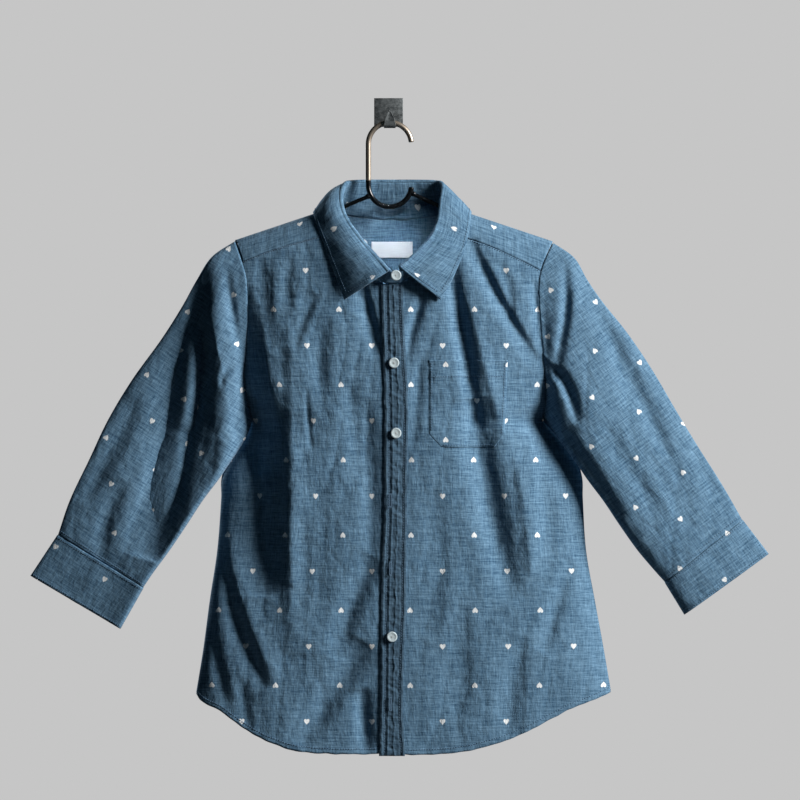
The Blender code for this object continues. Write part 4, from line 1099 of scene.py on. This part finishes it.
def add_node(tree, kind, *values, **named):
    """Add a node and give its first output in use.

    The values go to its inputs in use, in their order. A name with a capital is an
    input, any other name a setting.
    """
    made = tree.nodes.new("ShaderNode" + kind)
    for key, value in named.items():
        if key.islower():
            setattr(made, key, value)
    for socket, value in zip([s for s in made.inputs if s.enabled], values):
        feed(tree, socket, value)
    for key, value in named.items():
        if not key.islower():
            feed(tree, made.inputs[key], value)
    return [s for s in made.outputs if s.enabled][0]


def new_material(name, on_cloth=False):
    """A material, its node tree, and the coordinates its patterns lie on."""
    made = bpy.data.materials.new(name)
    made.use_nodes = True
    tree = made.node_tree
    if on_cloth:
        return made, tree, add_node(tree, "UVMap", uv_map="cloth")
    return made, tree, add_node(tree, "TexCoord").node.outputs["Object"]


def shaded(made, **inputs):
    """The material with its shader's inputs given, an underscore for each space."""
    tree = made.node_tree
    for key, value in inputs.items():
        feed(tree, tree.nodes["Principled BSDF"].inputs[key.replace("_", " ")], value)
    return made


def streaks(tree, coords, width, length, detail=2.0):
    """Noise drawn out into threads: width and length in metres, along U and V."""
    scaled = add_node(tree, "Mapping", coords, Scale=(1 / width, 1 / length, 1.0))
    return add_node(tree, "TexNoise", Vector=scaled, Scale=1.0, Detail=detail, Roughness=0.6,
                    noise_dimensions="2D")


def mixed(tree, parts):
    """A sum of patterns, each with its weight."""
    total = None
    for pattern, weight in parts:
        part = add_node(tree, "Math", pattern, weight, operation="MULTIPLY")
        total = add_node(tree, "Math", total, part, operation="ADD") if total else part
    return total


def heart(tree, flat, shift, flip, pitch, size):
    """1 inside the hearts of one lattice: shift is the lattice's start in pitches."""
    local = []
    for value, step in zip(flat, pitch):
        cell = add_node(tree, "Math", value, 1 / step, shift + 0.5, operation="MULTIPLY_ADD")
        cell = add_node(tree, "Math", cell, operation="FRACT")
        cell = add_node(tree, "Math", cell, 0.5, operation="SUBTRACT")
        local.append(add_node(tree, "Math", cell, step / size * 2, operation="MULTIPLY"))
    x = add_node(tree, "Math", local[0], operation="ABSOLUTE")
    lobe = add_node(tree, "Math", x, operation="SQRT")
    lobe = add_node(tree, "Math", lobe, 0.78, operation="MULTIPLY")
    y = add_node(tree, "Math", local[1], flip, operation="MULTIPLY")
    y = add_node(tree, "Math", y, 1.12, 0.12, operation="MULTIPLY_ADD")
    y = add_node(tree, "Math", y, lobe, operation="SUBTRACT")
    away = mixed(tree, ((x, x), (y, y)))
    away = add_node(tree, "Math", away, operation="SQRT")
    return add_node(tree, "MapRange", away, 0.92, 0.74)


def chambray(name, dark, light, print_colour, sizes, printed=True):
    """Washed cotton chambray: blue warp, white weft, slubs both ways, matt and soft."""
    made, tree, coords = new_material(name, True)
    # real threads are 0.3 mm apart, too fine to show: drawn at one to two millimetres
    threads = mixed(tree, ((streaks(tree, coords, 0.0010, 0.009), 0.25),
                           (streaks(tree, coords, 0.009, 0.0010), 0.32)))
    slubs = mixed(tree, ((streaks(tree, coords, 0.0019, 0.036, 1.0), 0.17),
                         (streaks(tree, coords, 0.036, 0.0019, 1.0), 0.26)))
    mottle = mixed(tree, ((streaks(tree, coords, 0.035, 0.05), 0.08),))
    weave = add_node(tree, "Math", threads, slubs, operation="ADD")
    weave = add_node(tree, "Math", weave, mottle, operation="ADD")
    share = add_node(tree, "MapRange", weave, 0.34, 0.76)
    colour = add_node(tree, "Mix", share, shade(dark), shade(light), data_type="RGBA")
    if printed:
        flat = add_node(tree, "SeparateXYZ", coords).node.outputs[:2]
        pitch = (sizes.heart_across, sizes.heart_down)
        up = heart(tree, flat, 0.0, 1.0, pitch, sizes.heart)
        low = heart(tree, flat, 0.5, -1.0, pitch, sizes.heart)
        either = add_node(tree, "Math", up, low, operation="MAXIMUM")
        worn = add_node(tree, "MapRange", weave, 0.36, 0.5, 0.72, 1.0)
        worn = add_node(tree, "Math", either, worn, operation="MULTIPLY")
        colour = add_node(tree, "Mix", worn, colour, shade(print_colour), data_type="RGBA")
    crimp = add_node(tree, "Bump", Strength=0.55, Distance=0.0005, Height=weave)
    soft = streaks(tree, coords, 0.010, 0.022, 3.0)
    rumpled = add_node(tree, "Bump", Strength=0.6, Distance=0.0018, Height=soft, Normal=crimp)
    return shaded(made, Base_Color=colour, Normal=rumpled, Roughness=0.88,
                  Specular_IOR_Level=0.18, Sheen_Weight=0.12, Sheen_Roughness=0.5)


def sewing_thread(name, colour):
    """Spun polyester sewing thread: matt, a little fuzzy."""
    made, tree, coords = new_material(name)
    grain = add_node(tree, "TexNoise", Vector=coords, Scale=900.0)
    tone = add_node(tree, "Mix", grain, shade(colour, 0.6), shade(colour), data_type="RGBA")
    return shaded(made, Base_Color=tone, Roughness=0.75, Specular_IOR_Level=0.25)


def pearl_resin(colour):
    """Polyester resin buttons with a pearl swirl, turned and polished."""
    made, tree, coords = new_material("pearl_resin")
    swirl = add_node(tree, "TexNoise", Vector=coords, Scale=260.0, Detail=3.0, Distortion=2.2)
    swirl = add_node(tree, "MapRange", swirl, 0.35, 0.65)
    tone = add_node(tree, "Mix", swirl, shade(colour, 0.72), shade(colour), data_type="RGBA")
    return shaded(made, Base_Color=tone, Roughness=0.22, Coat_Weight=0.4, Coat_Roughness=0.1)


def woven_label(colour):
    """Damask-woven polyester label: smooth, faintly ribbed, left bare."""
    made, tree, coords = new_material("damask_label", True)
    ribs = streaks(tree, coords, 0.012, 0.0006)
    tone = add_node(tree, "Mix", ribs, shade(colour, 0.86), shade(colour), data_type="RGBA")
    bump = add_node(tree, "Bump", Strength=0.3, Distance=0.0002, Height=ribs)
    return shaded(made, Base_Color=tone, Normal=bump, Roughness=0.55, Sheen_Weight=0.1)


def nickel_wire(colour):
    """Nickel-plated steel wire, satin; below the collar's edge it is drawn black and glossy, a
    painted shade and reflection of the shirt's dark inside.
    """
    made, tree, coords = new_material("nickel_plated_wire")
    dull = add_node(tree, "TexNoise", Vector=coords, Scale=140.0, Detail=4.0)
    spots = add_node(tree, "MapRange", dull, 0.35, 0.7)
    tone = add_node(tree, "Mix", spots, shade(colour), shade(colour, 0.70), data_type="RGBA")
    height = add_node(tree, "SeparateXYZ", coords).node.outputs[2]
    # painted shade and reflection: the wire turns black, glossy and not metallic below the
    # collar's edge
    painted_dark = add_node(tree, "MapRange", height, SHADED_WIRE_Z * MM, (SHADED_WIRE_Z - 2.0) * MM)
    tone = add_node(tree, "Mix", painted_dark, tone, (0.004, 0.005, 0.006, 1.0), data_type="RGBA")
    metal = add_node(tree, "MapRange", painted_dark, 0, 1, 0.8, 0.0)
    rough = add_node(tree, "Math", spots, 0.12, 0.34, operation="MULTIPLY_ADD")
    rough = add_node(tree, "Math", painted_dark, -0.2, rough, operation="MULTIPLY_ADD")
    return shaded(made, Base_Color=tone, Metallic=metal, Roughness=rough)


def zinc_plate(colour):
    """Zinc-coated sheet steel, rolled: grey, mottled, with fine scratches."""
    made, tree, coords = new_material("zinc_coated_steel")
    mottle = add_node(tree, "TexNoise", Vector=coords, Scale=260.0, Detail=4.0)
    drawn = add_node(tree, "Mapping", coords, Scale=(180.0, 180.0, 2600.0))
    lines = add_node(tree, "TexNoise", Vector=drawn, Scale=1.0)
    both = mixed(tree, ((mottle, 0.6), (lines, 0.4)))
    share = add_node(tree, "MapRange", both, 0.38, 0.62)
    tone = add_node(tree, "Mix", share, shade(colour, 0.62), shade(colour), data_type="RGBA")
    rough = add_node(tree, "MapRange", both, 0.4, 0.6, 0.42, 0.6)
    bump = add_node(tree, "Bump", Strength=0.25, Distance=0.0002, Height=both)
    return shaded(made, Base_Color=tone, Roughness=rough, Normal=bump, Metallic=0.85)


def painted_floor(colour):
    """Matt pale paint on board."""
    made, tree, coords = new_material("matt_floor_paint")
    grain = add_node(tree, "TexNoise", Vector=coords, Scale=60.0)
    tone = add_node(tree, "Mix", grain, shade(colour, 0.97), shade(colour), data_type="RGBA")
    return shaded(made, Base_Color=tone, Roughness=0.9)


# ---- what a user would change ------------------------------------------------
def length(name, description, default, least):
    return bpy.props.FloatProperty(name=name, description=description, default=default,
                                   min=least, unit="LENGTH")


def colour_of(name, description, code):
    return bpy.props.FloatVectorProperty(
        name=name, description=description, subtype="COLOR", size=3, min=0, max=1,
        default=linear(code))


class ShirtSizes(bpy.types.PropertyGroup):
    """Sizes of the print and the sewing."""
    heart: length("Heart width", "Width of one printed heart", 0.0073, 0.001)
    heart_across: length("Print across", "Distance between hearts in a row", 0.071, 0.01)
    heart_down: length("Print down", "Distance between rows of one kind of heart", 0.0855, 0.01)
    stitch: length("Stitch pitch", "Distance between stitches", 0.003, 0.001)


class ShirtColours(bpy.types.PropertyGroup):
    """Colours of the cloth, the metal and the stage."""
    dark: colour_of("Warp", "Darker thread of the cloth", "1D4664")
    light: colour_of("Weft", "Lighter thread of the cloth", "80A7C4")
    heart: colour_of("Print", "Printed hearts", "F4F9FB")
    sewing: colour_of("Sewing thread", "Thread of the seams", "6F8FAC")
    button: colour_of("Buttons", "Pearl resin", "DDEEF4")
    label: colour_of("Label", "Woven neck label", "ECF1F8")
    wire: colour_of("Wire", "Nickel-plated wire", "C9BBAA")
    plate: colour_of("Plate", "Zinc-coated steel", "8A9092")
    floor: colour_of("Floor", "Floor paint", "D6D6D6")
    backdrop: colour_of("Backdrop", "Studio backdrop", "C6C6C6")


looks = {}  # materials and pieces that operators share


def colours():
    return bpy.context.scene.shirt_colours


def chambray_look(name="washed_chambray", printed=True, deep=1.0):
    """The cloth's material, made once for each name; deep darkens its threads, which on the
    button band is painted shade.
    """
    if name not in looks:
        tone = colours()
        looks[name] = chambray(name, [c * deep for c in tone.dark],
                               [c * deep for c in tone.light], tone.heart,
                               bpy.context.scene.shirt_sizes, printed)
    return looks[name]


# ---- operators ---------------------------------------------------------------
PIXEL = 1.14  # millimetres across a pixel of the photograph
PIXEL_TOP = 111.5  # the pixel row at the origin's height
FLAT_PITCH = 71  # between the hearts of a row on flat cloth


def front_print(rows, pitches, x0, shift):
    """A front's print: the hearts' pitch, in pixels, at rows of the photograph."""
    def flat(x, z):
        pitch = np.interp(PIXEL_TOP - z / PIXEL, rows, pitches) * PIXEL
        return (x - x0) / pitch * FLAT_PITCH + shift, z + 438.9
    return flat


PRINT_RIGHT = front_print((280, 350, 423, 497, 572, 646, 721),
                          (66, 64.5, 58, 56, 59.5, 63, 65), -18.5, 0.4)
PRINT_LEFT = front_print((350, 497, 571, 645, 721), (63.5, 61.5, 64.5, 65.5, 63.5), 61.5, 0)


def keep(made, *solids, slot="chambray"):
    """Fit a piece to its solids and keep it for the operators that follow."""
    looks[made.name] = fit(made, slot, *solids)


class SHIRT_OT_fronts(bpy.types.Operator):
    """Lay the two fronts between the yoke seams, the sides, the band and the hem"""
    bl_idname = "shirt.fronts"
    bl_label = "Fronts"

    def execute(self, context):
        neck_right = tuple(neck_edge(i / LAST_ROW) for i in range(CORNER_RIGHT, -1, -1))
        neck_left = tuple(neck_edge(i / LAST_ROW) for i in range(CORNER_LEFT, LAST_ROW + 1))
        tuck = BAND_TUCK + 2 * SEAM
        low = float(band_low(NECK_FRONT_Z))
        neck_left += ((low + tuck, NECK_FRONT_Z),)
        neck_right = neck_right[:-1] + ((low + BAND_TUCK, NECK_FRONT_Z),)
        looks["front_right"] = front_place(
            ARMHOLE_RIGHT, SIDE_RIGHT, YOKE_SEAM_RIGHT, neck_right, HEM_RIGHT, BAND_TUCK,
            PRINT_RIGHT)
        looks["front_left"] = front_place(
            ARMHOLE_LEFT, SIDE_LEFT, YOKE_SEAM_LEFT, neck_left, HEM_LEFT, tuck, PRINT_LEFT)
        for name in ("front_right", "front_left"):
            bm = grid(120, 230, looks[name])
            front_faces.append(BVHTree.FromBMesh(bm))
            keep(cloth(name, bm, TO_FRONT), name)
        return {"FINISHED"}


class SHIRT_OT_back(bpy.types.Operator):
    """Lay the back and the yoke over the shoulders"""
    bl_idname = "shirt.back"
    bl_label = "Back and yoke"

    def execute(self, context):
        keep(cloth("back", grid(170, 210, back_place), TO_BACK), "back")
        keep(cloth("yoke", grid(240, 70, yoke_place), OVER_SHOULDERS), "yoke")
        return {"FINISHED"}


class SHIRT_OT_sleeves(bpy.types.Operator):
    """Turn the sleeves and their cuffs"""
    bl_idname = "shirt.sleeves"
    bl_label = "Sleeves and cuffs"

    def execute(self, context):
        # side, tables, seed, grain, print on the sleeve and on the cuff, crowns and lean
        parts = (
            ("right", SLEEVE_RIGHT, ARMHOLE_RIGHT, SLEEVE_FOLDS_RIGHT, CUFF_END_RIGHT,
             61.0, (-0.545, -0.839), (33.7, 69.5), (19.4, 60.2), (1.6, 6.0, 8.0)),
            ("left", SLEEVE_LEFT, ARMHOLE_LEFT, SLEEVE_FOLDS_LEFT, CUFF_END_LEFT,
             71.0, (0.588, -0.809), (63.2, 26.7), (63.2, 26.7), (1.9, 1.9, 3.0)),
        )
        for side, rows, armhole, folds, end, seed, grain, on_sleeve, on_cuff, crowns in parts:
            sleeve = sleeve_place(rows, armhole, folds, seed, grain, on_sleeve, crowns)
            cuff = cuff_place(rows[-1], end, seed + 4, grain, on_cuff, *crowns[1:])
            for name, (place, columns), size, wall in (
                    ("sleeve_" + side, sleeve, (190, 130), WALL),
                    ("cuff_" + side, cuff, (170, 30), CUFF_WALL)):
                bm = grid(*size, place)
                bmesh.ops.remove_doubles(bm, verts=bm.verts, dist=0.01 * MM)
                keep(cloth(name, bm, around(columns), wall=wall), name)
                looks[name] = place
        return {"FINISHED"}


class SHIRT_OT_collar(bpy.types.Operator):
    """Stand the collar on its stand and turn its leaf down"""
    bl_idname = "shirt.collar"
    bl_label = "Collar"

    def execute(self, context):
        stand = cloth("collar_stand", grid(180, 16, stand_place), OUT_OF_NECK, outward=True)
        keep(stand, "collar_stand")
        keep(cloth("collar", grid(220, 60, leaf_place), FROM_NECK), "collar")
        return {"FINISHED"}


class SHIRT_OT_laid_on(bpy.types.Operator):
    """Lay the puckered button band, the pocket and the bare neck label on the panels"""
    bl_idname = "shirt.laid_on"
    bl_label = "Band, pocket and label"

    def execute(self, context):
        # painted shade: the band is the shirt's chambray darkened to half, standing in for the
        # shade of its puckers
        bare = chambray_look("chambray_band_painted_shade", False, 0.5)
        keep(cloth("placket", grid(40, 480, placket_place), TO_FRONT, bare), "placket")
        keep(cloth("pocket", grid(60, 66, pocket_place), TO_FRONT, wall=WALL / 2), "pocket")
        label = cloth("label", grid(24, 12, label_place), TO_FRONT,
                      woven_label(colours().label), LABEL_T)
        keep(label, "label", slot="label")
        return {"FINISHED"}


class SHIRT_OT_buttons(bpy.types.Operator):
    """Turn the four buttons and sew each on with crossed thread"""
    bl_idname = "shirt.buttons"
    bl_label = "Buttons"

    def execute(self, context):
        look = pearl_resin(colours().button)
        thread = sewing_thread("button_thread", (0.62, 0.68, 0.70))
        for name, x, z in BUTTONS:
            low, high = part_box(name)
            front = low.y / MM
            bm = bmesh.new()
            points = [bm.verts.new((r * BUTTON_R * MM, -h * BUTTON_T * MM, 0))
                      for r, h in BUTTON_PROFILE]
            edges = [bm.edges.new(pair) for pair in zip(points, points[1:])]
            bmesh.ops.spin(bm, geom=points + edges, cent=(0, 0, 0), axis=(0, 1, 0),
                           angle=math.tau, steps=56, use_merge=True)
            bmesh.ops.remove_doubles(bm, verts=bm.verts, dist=0.001 * MM)
            bmesh.ops.recalc_face_normals(bm, faces=bm.faces)
            bmesh.ops.translate(bm, verts=bm.verts,
                                vec=Vector((x, front + BUTTON_T, z)) * MM)
            fit(add_object(name + "_pearl", bm, look, 35), "buttons", name)
            bm = bmesh.new()
            for side in (-1, 1):
                add_ball(bm, (x + side * 0.55, front + BUTTON_T * 0.26, z), (0.55, 0.6, 1.7),
                         12, 8)
            fit(add_object(name + "_thread", bm, thread), "buttons")
        return {"FINISHED"}


class SHIRT_OT_sewing(bpy.types.Operator):
    """Sew the seams, hem, band, pocket, collar and cuffs with rows of stitches"""
    bl_idname = "shirt.sewing"
    bl_label = "Sewing"

    def execute(self, context):
        front, up, behind = (0.0, -1.0, 0.0), (0.0, -0.6, 0.8), (0.0, 1.0, 0.0)
        # piece of sewing, what it lies on, line across and down, points, way outward
        rows = [("body", looks[name], *line, front) for name in ("front_right", "front_left")
                for line in (((0.004, 0.99), 1 - 0.0105, 400), ((0.01, 0.6), 0.0015, 200))]
        rows += [("band", placket_place, share, (0.002, 0.998), 900, front)
                 for share in (6.0 / 29.6, 1 - 4.5 / 29.6)]
        rows += [("pocket", pocket_place, *line, 120, front) for line in (
            (0.035, (0.01, 0.84)), (0.965, (0.01, 0.84)), ((0.03, 0.97), 0.19),
            ((0.04, 0.96), 0.975))]
        rows += [("collar", leaf_place, *line, up) for line in (
            ((0.014, 0.986), 0.955, 500), (0.014, (0.46, 0.955), 90),
            (0.986, (0.46, 0.955), 90))]
        for piece, heights in (("cuff", (0.05, 0.95)), ("sleeve", (0.985,))):
            rows += [(piece + "s", looks[piece + "_" + side], (start, start + 0.48), v, 300, way)
                     for side in ("right", "left") for v in heights
                     for start, way in ((0.01, front), (0.51, behind))]
        thread = sewing_thread("spun_sewing_thread", colours().sewing)
        pitch = context.scene.shirt_sizes.stitch / MM
        for name in ("body", "band", "pocket", "collar", "cuffs", "sleeves"):
            places = []
            for piece, place, u, v, count, way in rows:
                if piece == name:
                    places += sew(*path_of(place, u, v, count), np.array(way), pitch)
            if name == "band":
                for x, z in BUTTONHOLES:
                    y = float(laid_y(np.array([x]), np.array([z]))[0]) - 1.7
                    places += buttonhole(x, z, 6.5, y)
            keep(add_object(name + "_stitching", balls(places), thread))
        return {"FINISHED"}


class SHIRT_OT_cut(bpy.types.Operator):
    """A step that does nothing: no flat sizes are given"""
    bl_idname = "shirt.cut"
    bl_label = "Flat cuts"

    def execute(self, context):
        return {"FINISHED"}


def wire(name, points, radius, finish):
    """A round wire along the points, its cut ends rounded, made a mesh."""
    points = with_ends(points)
    radii = [radius] * len(points)
    for i, share in enumerate((0.72, 0.93)):
        radii[i] = radii[-1 - i] = radius * share
    curve = bpy.data.curves.new(name, "CURVE")
    curve.dimensions = "3D"
    curve.bevel_depth = MM
    curve.bevel_resolution = 6
    curve.use_fill_caps = True
    spline = curve.splines.new("POLY")
    spline.points.add(len(points) - 1)
    for target, point, thick in zip(spline.points, points, radii):
        target.co = (*(Vector(point) * MM), 1)
        target.radius = thick
    shape = bpy.data.objects.new(name, curve)
    mesh = bpy.data.meshes.new_from_object(shape)
    bpy.data.objects.remove(shape)
    bm = bmesh.new()
    bm.from_mesh(mesh)
    bpy.data.meshes.remove(mesh)
    bmesh.ops.recalc_face_normals(bm, faces=bm.faces)
    return add_object(name, bm, finish, 60)


def with_ends(points, step=0.5):
    """Two close points added at each end, for the rounding."""
    a, b = Vector(points[0]), Vector(points[1])
    c, d = Vector(points[-1]), Vector(points[-2])
    head = [a, a + (b - a).normalized() * step, a + (b - a).normalized() * 2 * step]
    tail = [c + (d - c).normalized() * 2 * step, c + (d - c).normalized() * step, c]
    return head + [Vector(p) for p in points[1:-1]] + tail


def arc(centre_z, start, stop, steps=60):
    """Points of the hook wire round a bend, angles in degrees from +X."""
    turned = np.radians(np.linspace(start, stop, steps + 1))
    return [(CROOK_X + CROOK_R * math.cos(a), HANGER_Y, centre_z + CROOK_R * math.sin(a))
            for a in turned]


class SHIRT_OT_hanger(bpy.types.Operator):
    """Bend the hook of plated wire and weld an arm to it under each shoulder"""
    bl_idname = "shirt.hanger"
    bl_label = "Hanger"

    def execute(self, context):
        look = nickel_wire(colours().wire)
        bends = arc(CROOK_Z, CROOK_END, 180) + arc(TROUGH_Z, 180, TROUGH_END)
        fit(wire("hook_wire", bends, WIRE_R, look), "hanger_wire", "hanger_hook")
        for side, way, rows in (("right", -1, ARM_RIGHT), ("left", 1, ARM_LEFT)):
            reach = np.linspace(abs(rows[-1][0] - SHOULDER_X), ARM_END, 24)[1:]
            line = list(rows) + [
                (SHOULDER_X + way * r, float(shoulder_z(SHOULDER_X + way * r)) - ARM_BELOW)
                for r in reach]
            x, z = edge_curve(line)(np.linspace(0, 1, 70))
            points = [(a, HANGER_Y, b) for a, b in zip(x.tolist(), z.tolist())]
            arm = wire("arm_wire_" + side, points, ARM_R, look)
            fit(arm, "hanger_wire", "hanger_arm_" + side)
            bm = bmesh.new()
            centre = (rows[0][0] + way * 0.5, HANGER_Y, rows[0][1])
            add_ball(bm, centre, WELD_SIZE, 24, 14)
            fit(add_object("weld_" + side, bm, look), "hanger_wire")
        return {"FINISHED"}


class SHIRT_OT_wall_hook(bpy.types.Operator):
    """Cut the square plate and bend its pointed prong forward and up"""
    bl_idname = "shirt.wall_hook"
    bl_label = "Wall hook"

    def execute(self, context):
        look = zinc_plate(colours().plate)
        bm = bmesh.new()
        bmesh.ops.create_cube(bm, size=1.0)
        bmesh.ops.scale(bm, verts=bm.verts, vec=Vector((PLATE_SIDE, PLATE_T, PLATE_SIDE)) * MM)
        bmesh.ops.translate(bm, verts=bm.verts, vec=Vector((0, -PLATE_T / 2, 0)) * MM)
        bmesh.ops.bevel(bm, geom=list(bm.edges) + list(bm.verts), offset=PLATE_EDGE * MM,
                        segments=3, profile=0.5, affect="EDGES", material=-1)
        fit(add_object("plate_steel", bm, look, 30), "plate_steel", "wall_plate")
        run = edge_curve(PRONG)

        def place(u, v):
            y, z, half = run(v)
            hollow = 0.5 * np.cos((u - 0.5) * math.pi) * np.clip((v - 0.6) * 4, 0, 1)
            return PRONG_X + (2 * u - 1) * half, y + hollow, z, u * 10, v * 60

        bm = grid(20, 120, place)
        bmesh.ops.recalc_face_normals(bm, faces=bm.faces)
        prong = add_object("prong_steel", bm, look, 40)
        solidify = prong.modifiers.new("sheet", "SOLIDIFY")
        solidify.thickness = PRONG_T * MM
        solidify.offset = 0.0
        bevel = prong.modifiers.new("edges", "BEVEL")
        bevel.width = PRONG_EDGE * MM
        bevel.segments = 2
        bevel.limit_method = "ANGLE"
        fit(prong, "plate_steel")
        return {"FINISHED"}


def lamp(name, place, aim, size, power, colour, beam, glints=True):
    """A soft square light at a place, turned to a point, with or without glints."""
    data = bpy.data.lights.new(name, "AREA")
    data.shape = "RECTANGLE"
    data.size = data.size_y = size
    data.energy = power
    data.color = colour
    data.spread = math.radians(beam)
    made = bpy.data.objects.new(name, data)
    made.location = place
    made.rotation_euler = (Vector(aim) - Vector(place)).to_track_quat("-Z", "Y").to_euler()
    made.visible_glossy = glints
    bpy.context.scene.collection.objects.link(made)


class SHIRT_OT_stage(bpy.types.Operator):
    """Set the pale floor, the grey backdrop, the raking key light and the camera"""
    bl_idname = "shirt.stage"
    bl_label = "Stage"

    def execute(self, context):
        scene = context.scene
        scene.view_settings.view_transform = "Standard"
        tone = colours()
        bm = bmesh.new()
        bmesh.ops.create_circle(bm, cap_ends=True, segments=96, radius=FLOOR_R)
        bmesh.ops.translate(bm, verts=bm.verts, vec=(0, 0, FLOOR_Z))
        add_object("floor", bm, painted_floor(tone.floor))
        world = bpy.data.worlds.new("studio")
        world.use_nodes = True
        scene.world = world
        tree = world.node_tree
        fill = tree.nodes["Background"]
        fill.inputs[0].default_value = FILL_COLOUR
        fill.inputs[1].default_value = FILL
        ray = add_node(tree, "LightPath").node.outputs["Is Camera Ray"]
        seen = add_node(tree, "Background", shade(tone.backdrop), 1.0)
        mix = add_node(tree, "MixShader", ray, fill.outputs[0], seen)
        tree.links.new(mix, tree.nodes["World Output"].inputs[0])
        for row in LAMPS:
            lamp(*row)
        data = bpy.data.cameras.new("camera")
        data.sensor_width = 36.0
        data.lens = data.sensor_width * CAMERA_AWAY / FRAME_WIDTH
        data.clip_end = 50
        camera = bpy.data.objects.new("camera", data)
        camera.location = (FRAME_X, CLOTH_Y - CAMERA_AWAY, FRAME_Z)
        camera.rotation_euler = (math.pi / 2, 0, 0)
        scene.collection.objects.link(camera)
        scene.camera = camera
        return {"FINISHED"}


class SHIRT_PT_panel(bpy.types.Panel):
    """The shirt's steps and their settings"""
    bl_idname = "SHIRT_PT_panel"
    bl_label = "Hung shirt"
    bl_space_type = "VIEW_3D"
    bl_region_type = "UI"
    bl_category = "Shirt"

    def draw(self, context):
        for group in (context.scene.shirt_sizes, context.scene.shirt_colours):
            box = self.layout.box()
            for key in group.__annotations__:
                box.prop(group, key)
        for step in STEPS:
            self.layout.operator(step.bl_idname)


STEPS = (
    SHIRT_OT_fronts, SHIRT_OT_back, SHIRT_OT_sleeves, SHIRT_OT_collar, SHIRT_OT_laid_on,
    SHIRT_OT_buttons, SHIRT_OT_sewing, SHIRT_OT_hanger, SHIRT_OT_wall_hook, SHIRT_OT_cut,
    SHIRT_OT_stage,
)
CLASSES = (ShirtSizes, ShirtColours) + STEPS + (SHIRT_PT_panel,)


def register():
    for made in CLASSES:
        bpy.utils.register_class(made)
    bpy.types.Scene.shirt_sizes = bpy.props.PointerProperty(type=ShirtSizes)
    bpy.types.Scene.shirt_colours = bpy.props.PointerProperty(type=ShirtColours)


def unregister():
    del bpy.types.Scene.shirt_colours
    del bpy.types.Scene.shirt_sizes
    for made in reversed(CLASSES):
        bpy.utils.unregister_class(made)


def main():
    register()
    for step in STEPS:
        group, name = step.bl_idname.split(".")
        if getattr(getattr(bpy.ops, group), name)() != {"FINISHED"}:
            raise RuntimeError(step.bl_label + " didn't finish")


if __name__ == "__main__":
    main()
